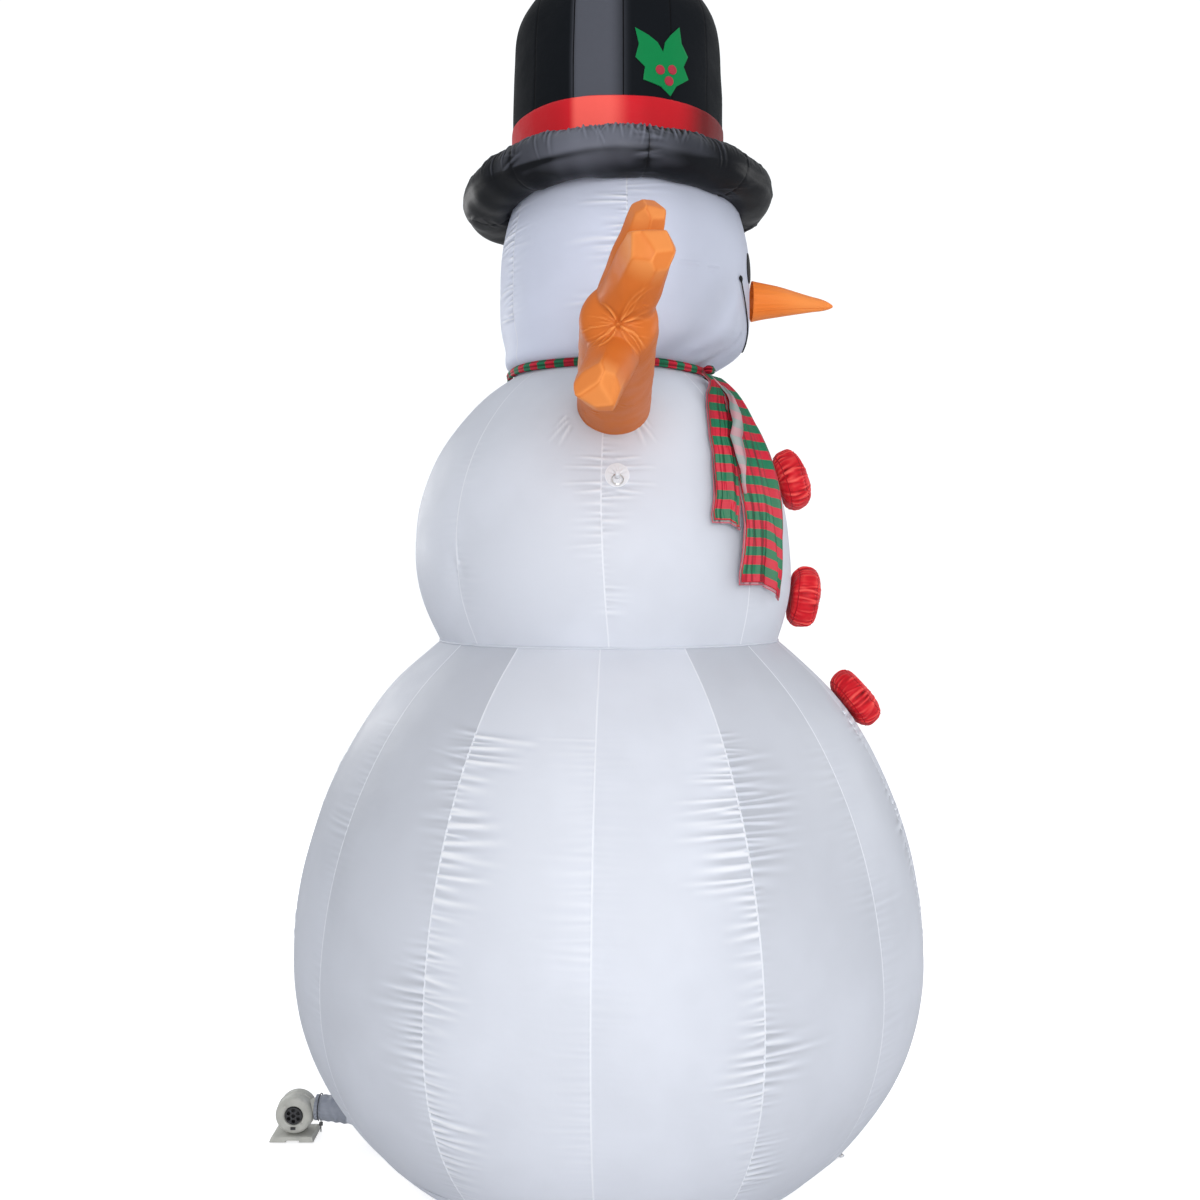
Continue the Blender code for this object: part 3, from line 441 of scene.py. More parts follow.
def fabric(name, colour, rough=0.5, sheen=0.15, seam=None, seam_width=0.007, crumple=0.5, glow=0.0,
           pitch=0.0024, specular=0.4, stripes=None, lighter_tone=None, darkest_tone=0.72):
    """Coated nylon or satin. seam is the colour beside a seam, stripes a second colour along the cloth,
    then the paler colour that a positive tone attribute mixes in (painted highlight and painted sheen on
    most parts), and how dark a tone of -1 makes the colour (painted shade), glow the share of light that
    comes through."""
    material, tree, surface = new_material(name)
    across, along, apart = cloth_parts(tree)
    cloudy = noise(tree, 1.7, 3.0)
    base = mixed(tree, between(tree, cloudy, 0.35, 0.65), rgb(*shade(colour, 0.94)), rgb(*colour))
    if stripes is not None:
        bands = maths(tree, "SINE", maths(tree, "MULTIPLY", along, pi / STRIPE))
        other = mixed(tree, cloudy, rgb(*shade(stripes, 0.9)), rgb(*shade(stripes, 1.05)))
        base = mixed(tree, between(tree, bands, -0.06, 0.06), base, other)
    if lighter_tone is not None:
        # Painted light and shade from the tone attribute: paler where it is positive, darker where it is
        # negative.
        tone = add_node(tree, "Attribute", attribute_name="tone").outputs["Fac"]
        base = mixed(tree, tone, base, rgb(*lighter_tone))
        away = maths(tree, "MULTIPLY", tone, -1.0)
        base = mixed(tree, away, base, rgb(darkest_tone, darkest_tone, darkest_tone), "MULTIPLY")
    if seam is not None:
        close = between(tree, apart, seam_width * 0.6, seam_width, 1.0, 0.0)
        base = mixed(tree, close, base, rgb(*seam))
    threads = weave(tree, across, along, pitch)
    base = mixed(tree, maths(tree, "MULTIPLY_ADD", threads, 0.03, 0.03), base, rgb(*shade(colour, 0.6)))
    tree.links.new(base, surface.inputs["Base Color"])
    surface.inputs["Sheen Weight"].default_value = sheen
    surface.inputs["Sheen Roughness"].default_value = 0.4
    surface.inputs["Specular IOR Level"].default_value = specular
    worn = noise(tree, 5.0, 3.0)
    tree.links.new(between(tree, worn, 0.3, 0.7, rough - 0.06, rough + 0.06), surface.inputs["Roughness"])
    stretched = add_node(tree, "Mapping", {0: add_node(tree, "TexCoord").outputs["Object"], 3: (1, 1, 1.8)})
    layers = [
        (noise(tree, 5.0, 2.0, vector=stretched.outputs[0]), 0.02, 0.35 * crumple),
        (noise(tree, 22.0, 3.0), 0.004, 0.45 * crumple),
        (threads, 0.0002, 0.25),
    ]
    tree.links.new(bump_chain(tree, layers), surface.inputs["Normal"])
    if glow:
        out = tree.nodes["Material Output"]
        through = add_node(tree, "BsdfTranslucent", {"Color": base})
        blend = add_node(tree, "MixShader", {0: glow, 1: surface.outputs[0], 2: through.outputs[0]})
        tree.links.new(blend.outputs[0], out.inputs[0])
    return material


def moulded(name, colour, rough=0.5, grain=260.0):
    """Moulded plastic or rubber with a fine spark-eroded grain and a little dirt."""
    material, tree, surface = new_material(name)
    dusty = noise(tree, 14.0, 5.0)
    base = mixed(tree, between(tree, dusty, 0.35, 0.75), rgb(*colour), rgb(*shade(colour, 0.8)))
    tree.links.new(base, surface.inputs["Base Color"])
    tree.links.new(between(tree, dusty, 0.3, 0.7, rough - 0.07, rough + 0.1), surface.inputs["Roughness"])
    layers = [(noise(tree, grain, 2.0), 0.0004, 0.35), (noise(tree, 30.0, 2.0), 0.001, 0.15)]
    tree.links.new(bump_chain(tree, layers), surface.inputs["Normal"])
    return material


def metal(name, colour, rough=0.28):
    """Plated or turned metal with fine scratches and duller, handled patches."""
    material, tree, surface = new_material(name)
    handled = noise(tree, 60.0, 4.0)
    surface.inputs["Metallic"].default_value = 1.0
    base = mixed(tree, handled, rgb(*colour), rgb(*shade(colour, 0.75)))
    tree.links.new(base, surface.inputs["Base Color"])
    duller = between(tree, handled, 0.3, 0.75, rough - 0.08, rough + 0.15)
    tree.links.new(duller, surface.inputs["Roughness"])
    tree.links.new(bump_chain(tree, [(noise(tree, 900.0, 2.0), 0.0001, 0.3)]), surface.inputs["Normal"])
    return material


def lens(name, colour):
    """A frosted lamp cover."""
    material, tree, surface = new_material(name)
    surface.inputs["Base Color"].default_value = rgb(*colour)
    surface.inputs["Transmission Weight"].default_value = 0.5
    tree.links.new(between(tree, noise(tree, 120.0), 0.3, 0.7, 0.25, 0.45), surface.inputs["Roughness"])
    return material


SNOW = fabric("snow_nylon", (0.71, 0.74, 0.815), 0.5, 0.0, (0.81, 0.835, 0.895), 0.0045, 0.45, glow=0.18,
              specular=0.3, lighter_tone=(0.93, 0.945, 0.975))
HEAD_SNOW = fabric("head_nylon", (0.71, 0.755, 0.90), 0.5, 0.0, (0.76, 0.79, 0.88), 0.0045, 0.45, glow=0.18,
                   specular=0.3, lighter_tone=(0.93, 0.945, 0.99))
BLACK = fabric("hat_black_satin", (0.007, 0.0085, 0.011), 0.5, 0.0, (0.004, 0.004, 0.005), 0.004, 0.7,
               specular=0.035, lighter_tone=(0.085, 0.09, 0.11))
BRIM_BLACK = fabric("brim_black_satin", (0.007, 0.008, 0.0105), 0.4, 0.0, (0.004, 0.004, 0.005), 0.004, 0.7,
                    specular=0.09, lighter_tone=(0.18, 0.19, 0.235), darkest_tone=0.3)
RED = fabric("red_satin", (0.66, 0.014, 0.024), 0.42, 0.0, (0.40, 0.006, 0.014), 0.004, 0.8, specular=0.13,
             lighter_tone=(1.0, 0.15, 0.12), darkest_tone=0.22)
GREEN = fabric("holly_satin", (0.0, 0.27, 0.075), 0.5, 0.0, (0.0, 0.20, 0.055), 0.004, 0.3, specular=0.15)
BERRY = fabric("berry_satin", (0.44, 0.055, 0.075), 0.5, 0.0, (0.36, 0.03, 0.05), 0.003, 0.3, specular=0.15)
ORANGE = fabric("nose_nylon", (0.90, 0.215, 0.022), 0.45, 0.0, (0.82, 0.18, 0.018), 0.002, 0.4, 0.1,
                specular=0.3, lighter_tone=(1.0, 0.36, 0.09))
BARK = fabric("arm_satin", (0.57, 0.145, 0.026), 0.42, 0.0, (0.46, 0.12, 0.04), 0.004, 0.8, specular=0.10,
              lighter_tone=(0.74, 0.27, 0.075))
INK = fabric("face_applique", (0.008, 0.008, 0.01), 0.5, 0.0, (0.02, 0.02, 0.024), 0.004, 0.3, specular=0.15)
SCARF = fabric("scarf_face", (0.66, 0.022, 0.05), 0.5, 0.0, (0.50, 0.03, 0.045), 0.006, 0.6, 0.1,
               specular=0.12, stripes=(0.003, 0.21, 0.10), lighter_tone=(0.66, 0.50, 0.50), darkest_tone=0.12)
LINING = fabric("scarf_reverse", (0.56, 0.27, 0.31), 0.6, 0.0, (0.56, 0.12, 0.16), 0.006, 0.6, 0.15,
                specular=0.25, stripes=(0.27, 0.36, 0.34), lighter_tone=(0.7, 0.6, 0.62), darkest_tone=0.2)
WEBBING = fabric("white_webbing", (0.72, 0.73, 0.77), 0.7, 0.2, (0.85, 0.86, 0.9), 0.003, 0.2, pitch=0.0035)
PANEL = fabric("base_panel_cloth", (0.55, 0.57, 0.62), 0.6, 0.1, crumple=0.6)
ZIP = fabric("zip_cloth", (0.68, 0.69, 0.73), 0.7, 0.1, (0.82, 0.83, 0.86), 0.003, 0.2, pitch=0.0016)
# The air sleeve's cloth colour is set dark grey as it looks in the shade under the ball: partly the cloth's
# own grey, partly painted shade.
SLEEVE = fabric("sleeve_cloth", (0.26, 0.28, 0.33), 0.5, 0.1, (0.16, 0.17, 0.2), 0.004, 0.7,
                lighter_tone=(0.64, 0.67, 0.74))
CORD = fabric("black_cord", (0.02, 0.02, 0.022), 0.7, 0.1, pitch=0.003)
NICKEL = metal("nickel_plate", (0.72, 0.70, 0.66))
STEEL = metal("motor_steel", (0.45, 0.45, 0.47), 0.4)
HOUSING = moulded("fan_housing_plastic", (0.46, 0.46, 0.425), 0.45)
DARK = moulded("dark_plastic", (0.03, 0.03, 0.033), 0.45)
CABLE = moulded("cable_rubber", (0.018, 0.018, 0.018), 0.5, 500.0)
LENS = lens("lamp_lens", (0.9, 0.92, 0.95))


# ---- the balls ------------------------------------------------------------------------------------
BELLY = Skin(vertices_of("lower_ball"), BELLY_GORES, BELLY_PHASE, 0.016)
CHEST = Skin(vertices_of("middle_ball"), CHEST_GORES, CHEST_PHASE, 0.012)
COLLAR_RADIUS, COLLAR_HEIGHT = 0.590, 4.889  # the ring that carries the head's skin up under the brim
COLLAR = direction(np.linspace(0, 2 * pi, 65)) * COLLAR_RADIUS + (0.0, middle_of("head")[1], COLLAR_HEIGHT)
HEAD = Skin(np.concatenate((vertices_of("head"), COLLAR)))
CROWN = Skin(vertices_of("hat_crown"), CROWN_PANELS, CROWN_PHASE, -0.0035)
GORE_PAINTED_SHADES = [0.06, -0.60, -0.45, -0.2, -0.45, -0.60, 0.06]  # painted shade of each gore, half way round, darkest on the gores beside those that face the key light
SEAM_EDGE = np.array((0.0, 0.010, 0.019, 0.030, 0.05))  # shares that hold the seam's ridge
SEAM_RIDGE, SEAM_HALF = 0.0014, 0.004


def seam_ridge(apart):
    return SEAM_RIDGE * np.exp(-((apart / SEAM_HALF) ** 4))


def gather_gores(skin, angles, ways, seed, strengths, depth, reach, size, span, spacing=0.046):
    """Gathers on both sides of every seam; strengths gives each seam's (before, after) share."""
    apart = skin.apart(angles[None, :], ways[:, None])
    turns = (angles - skin.phase) * skin.gores / (2 * pi)
    height = np.zeros_like(apart)
    for seam in range(skin.gores):
        for side, strength in zip((-1, 1), strengths(seam)):
            away = (turns - seam + skin.gores / 2) % skin.gores - skin.gores / 2
            columns = np.nonzero((away * side >= 0) & (np.abs(away) <= 0.5))[0]
            if strength:
                part = gathers(ways, apart[:, columns], seed + 2 * seam + (side > 0), depth * strength,
                               reach, size, span, spacing)
                height[:, columns] += part * np.where(np.abs(away[columns]) < 1e-9, 0.5, 1.0)
    return height, apart


def make_lower_ball():
    """Fourteen gores. Every other seam is gathered, and the hem is gathered to the base panel."""
    hem_top = BELLY.way_at(0.26)
    ways = np.linspace(hem_top, BELLY.way[-1], 640)
    shares = crowded(SEAM_EDGE, 8)
    angles = gore_columns(BELLY_GORES, BELLY_PHASE, shares)
    points = BELLY.grid(angles, ways)
    rng = np.random.default_rng(11)
    strength = [(rng.uniform(0.75, 1.0), rng.uniform(0.75, 1.0)) if seam % 2 else
                (rng.uniform(0.0, 0.25), rng.uniform(0.0, 0.2)) for seam in range(BELLY_GORES)]
    span = BELLY.way_at(0.30), BELLY.way_at(2.30)
    height, apart = gather_gores(BELLY, angles, ways, 100, lambda seam: strength[seam], 0.0100, 0.34,
                                 0.0082, span, 0.030)
    # Painted highlights on the gathers' ridges and painted shade in their valleys; below, each gore gets its
    # painted shade, weaker lower down.
    tone = np.clip(height / 0.0045, -0.7, 0.7)
    gore_shades = np.array(GORE_PAINTED_SHADES + GORE_PAINTED_SHADES) + rng.uniform(-0.05, 0.05, BELLY_GORES)
    high = 0.40 + 0.60 * ease((ways - BELLY.way_at(0.9)) / 1.1)  # the ground lights the lower parts
    tone += np.append(np.repeat(gore_shades, 2 * len(shares) - 2), gore_shades[0]) * high[:, None]
    height += seam_ridge(apart)
    free = ease((BELLY.way[-1] - ways)[:, None] / 0.3)
    height += swell(points, 3, 0.7, 0.0035) * ease(apart / 0.15) * free
    out = normals(points)
    cloth = cloth_of(points, apart)
    points = points + out * height[..., None]
    points[-1] = BELLY.grid(angles, ways[-1:])[0]
    step = 2 * len(shares) - 2
    for gore in range(BELLY_GORES):
        columns = slice(gore * step, (gore + 1) * step + 1)
        piece = sheet(f"lower_gore_{gore + 1:02d}", points[:, columns], SNOW, cloth[:, columns],
                      tone=tone[:, columns])
        stands(piece, "snow_fabric", "lower_ball")
    make_base_hem(hem_top)


HEM_FOLDS = 190


def make_base_hem(top):
    """The gores' lowest part, drawn into fine upright folds where it is sewn to the base panel."""
    angles = BELLY_PHASE + np.linspace(0, 2 * pi, HEM_FOLDS * 5 + 1)
    ways = np.linspace(0.0, top + 0.004, 26)
    points = BELLY.grid(angles, ways)
    apart = BELLY.apart(angles[None, :], ways[:, None])
    rng = np.random.default_rng(21)
    height = np.zeros_like(apart)
    radius = BELLY.radius_at(0.0)
    for number in range(HEM_FOLDS):
        middle = 2 * pi * (number + rng.uniform(0.0, 1.0)) / HEM_FOLDS
        tall = rng.uniform(0.08, 0.30) * (1 if rng.uniform() < 0.5 else 0.55)
        width = rng.uniform(0.007, 0.013)
        turn = wrapped(angles - BELLY_PHASE - middle)
        near = np.abs(turn) * radius < 5 * width
        fade = np.clip(1 - ways[:, None] / tall, 0.0, 1.0) ** 1.1
        height[:, near] += rng.uniform(0.002, 0.0055) * fold(turn[None, near] * radius, width) * fade
    height *= ease((top - ways)[:, None] / 0.05)
    # Painted highlights on the folds' ridges and painted shade in their valleys.
    tone = np.clip(height / 0.005, -0.7, 0.6)
    height += seam_ridge(apart)
    points += normals(points) * height[..., None]
    points[..., 2] = np.maximum(points[..., 2], 0.001)
    piece = sheet("base_hem", points, SNOW, cloth_of(points, apart), tone=tone)
    stands(piece, "snow_fabric")
    frame["nodes"]["base_panel"].data.materials[0] = PANEL


def make_middle_ball():
    ways = np.linspace(0.0, CHEST.way[-1], 272)
    angles = gore_columns(CHEST_GORES, CHEST_PHASE, crowded(SEAM_EDGE, 12, 1.25))
    fine = np.radians(np.linspace(8.5, 22.0, 22))
    beside = np.concatenate([turn + side * fine for turn in (pi / 2, 3 * pi / 2) for side in (1, -1)])
    beside = (beside - CHEST_PHASE) % (2 * pi) + CHEST_PHASE
    angles = np.unique(np.round(np.concatenate((angles, beside)), 4))
    points = CHEST.grid(angles, ways)
    rng = np.random.default_rng(31)
    strength = [(rng.uniform(0.4, 0.8), rng.uniform(0.4, 0.8)) if seam % 2 == 0 else
                (rng.uniform(0.0, 0.2), rng.uniform(0.0, 0.2)) for seam in range(CHEST_GORES)]
    span = CHEST.way_at(2.80), CHEST.way_at(3.62)
    height, apart = gather_gores(CHEST, angles, ways, 300, lambda seam: strength[seam], 0.0065, 0.20,
                                 0.008, span, 0.028)
    # Painted highlights on the ridges of the gathers and shoulder folds, painted shade in their valleys.
    tone = height.copy()
    height += seam_ridge(apart)
    height += swell(points, 5, 0.5, 0.003) * ease(apart / 0.12) * ease((CHEST.way[-1] - ways)[:, None] / 0.2)
    for side in (1, -1):
        folds = shoulder_folds(points, side)
        height += folds + dimple(points, side * radians(135), 3.02)
        tone += folds
    tone = np.clip(tone / 0.0045, -0.5, 0.5)
    out = normals(points)
    cloth = cloth_of(points, apart)
    points = points + out * height[..., None]
    stands(sheet("middle_ball_fabric", points, SNOW, cloth, tone=tone), "snow_fabric", "middle_ball")


def dimple(points, angle, level):
    """A soft dent where a seam has slackened, with a few short folds running from it."""
    centre = CHEST.at(angle, level)
    away = np.linalg.norm(points - centre, axis=-1)
    height = -0.007 * bell(away / 0.09)
    for turn, lift in ((0.16, -0.03), (-0.14, 0.02), (0.03, 0.16), (-0.03, -0.16)):
        height += crease(points, centre, CHEST.at(angle + turn, level + lift), 0.016, 0.003)
    return height


def shoulder_folds(points, side):
    """Pulls round the tether patch and at the lower corners of the arm's root; side 1 is the right."""
    height = np.zeros(points.shape[:-1])
    patch = middle_of("shoulder_patch_right" if side > 0 else "shoulder_patch_left")
    angle = atan2(-patch[0], -patch[1])
    level = patch[2]
    for lift in (0.035, -0.035, 0.075, -0.070):
        for run in (0.24, -0.24):
            start = CHEST.at(angle + 0.15 * run, level + lift)
            end = CHEST.at(angle + run * (1.0 if abs(lift) < 0.05 else 0.7), level + lift * 1.15)
            height += crease(points, start, end, 0.008, 0.0045)
    root = joint_anchor("right_arm_sway" if side > 0 else "left_arm_sway")
    for front in (1, -1):
        for tilt, reach in ((20, 0.25), (29, 0.30), (38, 0.28)):
            turn = radians(tilt)
            near = CHEST.at(side * pi / 2 - front * 0.175 * cos(turn) / 0.74, root[2] - 0.175 * sin(turn))
            lean = turn + radians(12)
            far = CHEST.at(side * pi / 2 - front * reach * cos(lean) / 0.78, root[2] - reach * sin(lean))
            height += crease(points, near, far, 0.0085, 0.0042)
    return height


def make_waist_seam():
    """The stitched roll where the two lower balls are sewn together."""
    turns = np.linspace(0, 2 * pi, 361)
    ring = np.linspace(0, 2 * pi, 11)
    low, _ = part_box("middle_ball")
    radius = CHEST.radius_at(0.0) + 0.001
    roll = 0.007 + 0.0012 * np.sin(turns * 180)[:, None] * np.cos(ring)[None, :] ** 2
    reach = radius + roll * np.cos(ring)[None, :]
    points = direction(turns)[:, None, :] * reach[..., None]
    points[..., 2] = low.z + roll * 0.8 * np.sin(ring)[None, :]
    piece = sheet("waist_seam", points, SNOW, cloth_of(points), flip=True)
    stands(piece, "snow_fabric")


# ---- the head -------------------------------------------------------------------------------------
HEAD_SEAMS = (radians(90), radians(150), radians(210), radians(270))  # the face is one wide panel


def head_apart(angles, ways):
    """Metres to the nearest of the head's seams."""
    radius = HEAD.radius_at(ways)
    gaps = [np.abs(wrapped(angles - seam)) for seam in HEAD_SEAMS]
    return np.min(gaps, axis=0)[None, :] * radius[:, None]


# Each cheek's slack folds: (heading, height) of both ends, width and depth.
CHEEK_FOLDS = (
    ((32, 4.36), (54, 4.07), 0.045, 0.006),
    ((44, 4.44), (66, 4.12), 0.050, 0.005),
    ((24, 4.24), (36, 4.05), 0.035, 0.005),
    ((58, 4.475), (68, 4.47), 0.010, 0.003),
    ((46, 4.47), (53, 4.465), 0.009, 0.003),
)


def cheek_painted_shading(angles, levels, side):
    """Painted shade and highlights: the face panel is painted a little darker where it turns from the light,
    and its slack cheek gets broad slanting patches of painted shade and a thin slanting painted highlight.
    """
    turn = np.degrees(wrapped(side * angles))[None, :]
    slant = turn + 58 * (levels - 4.25)
    patch = bell((slant - 52) / 9) + 0.8 * bell((slant - 26) / 7)
    lit = bell((slant - 39) / 4)
    low = ease((4.52 - levels) / 0.16) * ease((82 - turn) / 20) * ease((turn - 8) / 10)
    return (0.10 * lit - 0.32 * patch) * low - 0.70 * ease((84 - turn) / 26) * ease((turn + 10) / 20)


def make_head():
    angles = radians(90) + np.linspace(0, 2 * pi, 361)
    close = [seam + np.array((-0.03, -0.012, -0.006, 0.006, 0.012, 0.03)) for seam in HEAD_SEAMS[1:]]
    start = [radians(90) + np.array((0.006, 0.012, 0.03)), radians(450) - np.array((0.006, 0.012, 0.03))]
    angles = np.unique(np.concatenate((angles, *close, *start)))
    ways = np.linspace(0.0, HEAD.way[-1], 250)
    points = HEAD.grid(angles, ways)
    apart = head_apart(angles, ways)
    sunk = 0.006 * np.clip(1 - apart / 0.25, 0, 1) ** 2 * np.sin(pi * ways / ways[-1])[:, None]
    height = seam_ridge(apart)
    span = HEAD.way_at(4.26), HEAD.way_at(4.84)
    for number, seam in enumerate(HEAD_SEAMS):
        turn = wrapped(angles - seam)
        gathered = -1 if number == 3 else 1
        for side in (1, -1):
            strength = 1.0 if side == gathered else 0.15
            columns = np.nonzero((turn * side >= 0) & (np.abs(turn) < 0.52))[0]
            for extra, long, close in ((0, 0.32, 0.024), (40, 0.20, 0.018)):
                height[:, columns] += gathers(ways, apart[:, columns], 500 + extra + 7 * number + side,
                                              0.0105 * strength, long, 0.0075, span, close)
    # Painted highlights on the gathers' ridges and painted shade in their valleys; the cheeks get their
    # painted shading below.
    tone = np.clip((height - seam_ridge(apart)) / 0.0055, -0.55, 0.75)
    for side in (1, -1):
        tone += cheek_painted_shading(angles, points[..., 2], side)
        for top, bottom, width, depth in CHEEK_FOLDS:
            start = HEAD.at(side * radians(top[0]), top[1])
            end = HEAD.at(side * radians(bottom[0]), bottom[1])
            height += crease(points, start, end, width, depth) + crease(points, end, start, width, depth)
    height += swell(points, 9, 0.35, 0.0025) * ease(apart / 0.1) * np.sin(pi * ways / ways[-1])[:, None]
    cloth = cloth_of(points, apart)
    points = points + normals(points) * (height - sunk)[..., None]
    stands(sheet("head_fabric", points, HEAD_SNOW, cloth, tone=tone), "snow_fabric", "head")


def make_eye(side):
    """An oval applique laid on the head's fabric, with a soft, stitched edge."""
    low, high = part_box(f"eye_{side}")
    centre = (low + high) / 2
    angle = atan2(-centre.x, -(centre.y - np.interp(centre.z, HEAD.height, HEAD.middle)))
    reach = float(HEAD.radius_at(HEAD.way_at(centre.z)))
    wide, tall = 0.052, (high.z - low.z) / 2
    rows, columns = 14, 65
    turns = np.linspace(0, 2 * pi, columns)
    rims = np.concatenate((np.linspace(0, 1, rows) ** 0.7, (1.0,)))[::-1]
    angles = angle - wide * rims[:, None] * np.cos(turns)[None, :] / reach
    levels = centre.z + tall * rims[:, None] * np.sin(turns)[None, :]
    puff = 0.003 + 0.005 * np.sqrt(np.clip(1 - rims**2.5, 0, 1))
    puff[0] = 0.0
    stitched = 0.0007 * np.cos(turns * 40)[None, :] * (np.abs(rims - 0.93) < 0.05)[:, None]
    points = HEAD.point(angles, HEAD.way_at(levels), puff[:, None] + stitched)
    apart = (1 - rims)[:, None] * tall + np.zeros_like(angles)
    piece = sheet(f"eye_{side}_applique", points, INK, cloth_of(points, apart))
    stands(piece, "face_applique", f"eye_{side}")


SMILE_CORD, SMILE_TURN = 0.0048, radians(30)


def make_smile():
    """An embroidered line: a round cord wound with slanting stitches, with a knot at each end."""
    low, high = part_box("smile")
    count = 240
    share = np.linspace(-1, 1, count)
    levels = high.z - 2 * SMILE_CORD - (high.z - low.z - 3 * SMILE_CORD) * (1 - np.abs(share) ** 2.2)
    centre = HEAD.point(SMILE_TURN * share, HEAD.way_at(levels), 0.005)
    ahead = np.gradient(centre, axis=0)
    ahead /= np.linalg.norm(ahead, axis=1, keepdims=True)
    above = HEAD.point(SMILE_TURN * share, HEAD.way_at(levels), 0.02) - centre
    above /= np.linalg.norm(above, axis=1, keepdims=True)
    side = np.cross(ahead, above)
    ring = np.linspace(0, 2 * pi, 15)
    ends = np.clip((np.abs(share) - 0.955) / 0.045, 0, 1)
    thick = SMILE_CORD * (1 + 1.6 * np.sin(pi * ends) ** 0.8) * np.sqrt(np.clip(1 - ends**6, 0.0004, 1))
    wound = 1 + 0.07 * np.sin(np.arange(count)[:, None] * 1.9 + ring[None, :])
    reach = thick[:, None] * wound
    points = centre[:, None, :] + side[:, None, :] * (reach * np.cos(ring)[None, :])[..., None]
    points = points + above[:, None, :] * (reach * 0.7 * np.sin(ring)[None, :])[..., None]
    stands(sheet("smile_stitched", points, INK, cloth_of(points)), "face_applique", "smile")


def make_nose():
    """A carrot of four sewn panels, gathered a little at its root."""
    upright = np.array(((1, 0, 0), (0, 0, 1), (0, -1, 0)), float)
    skin = Skin(vertices_of("carrot_nose") @ upright.T, 4, radians(45), 0.0035)
    ways = np.linspace(0.0, skin.way[-1], 130)
    angles = skin.phase + np.linspace(0, 2 * pi, 121)
    points = skin.grid(angles, ways)
    apart = skin.apart(angles[None, :], ways[:, None])
    rng = np.random.default_rng(61)
    height = 0.0012 * bell(apart / 0.004)
    root = ease(1 - (ways - 0.10) / 0.12)[:, None]
    for _ in range(26):
        middle = rng.uniform(0, 2 * pi)
        turn = wrapped(angles - middle)
        height += rng.uniform(0.0006, 0.002) * fold(turn * 0.1, rng.uniform(0.004, 0.008))[None, :] * root
    height += swell(points, 62, 0.16, 0.0016)
    cloth = cloth_of(points, apart)
    tone = swell(points, 63, 0.30, 0.35) + 0.2
    points = (points + normals(points) * height[..., None]) @ upright
    stands(sheet("nose_fabric", points, ORANGE, cloth, tone=tone), "nose_fabric", "carrot_nose")


# ---- the hat --------------------------------------------------------------------------------------
def crown_painted_sheen(angles):
    """Painted sheen: the panels in a few bands of headings are painted paler, as if they shone; one whole
    panel does on each side.
    """
    tone = np.zeros(angles.shape)
    for start, width in ((83.0, 33.0), (-62.0, 24.0), (205.0, 28.0)):
        turn = np.degrees(angles) - start
        turn = (turn + 180) % 360 - 180
        tone = np.maximum(tone, ease(turn / 12.0) * ease((width - turn) / 5.0))
    return tone


def make_crown():
    top = CROWN.way[-1]
    last = top * (1 - 0.04 * np.linspace(0.9, 0.0, 10) ** 1.4)
    ways = np.concatenate((np.linspace(0.0, top * 0.96, 190), last))
    angles = gore_columns(CROWN_PANELS, CROWN_PHASE, crowded(np.array((0.0, 0.03, 0.07)), 7))
    points = CROWN.grid(angles, ways)
    apart = CROWN.apart(angles[None, :], ways[:, None])
    height = -0.002 * bell(apart / 0.006)
    span = CROWN.way_at(5.00), CROWN.way_at(5.9)
    part, _ = gather_gores(CROWN, angles, ways, 700, lambda seam: (0.35, 0.35), 0.0024, 0.10, 0.008,
                           span, 0.05)
    height += part
    foot = (ways - CROWN.way_at(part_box("hat_band")[1].z))[:, None]
    rng = np.random.default_rng(71)
    for _ in range(70):
        middle = rng.uniform(0, 2 * pi)
        turn = wrapped(angles - middle)
        fade = np.exp(-np.abs(foot) / rng.uniform(0.015, 0.06))
        height += rng.uniform(0.0005, 0.0016) * fold(turn * 0.535, rng.uniform(0.006, 0.012))[None, :] * fade
    height += swell(points, 72, 0.3, 0.0022) * ease((top - ways)[:, None] / 0.15)
    cloth = cloth_of(points, apart)
    points = points + normals(points) * height[..., None]
    # Painted sheen on the crown's shining panels.
    lighter_tone = crown_painted_sheen(angles)[None, :] + 0 * height
    stands(sheet("crown_fabric", points, BLACK, cloth, tone=lighter_tone), "hat_satin", "hat_crown")


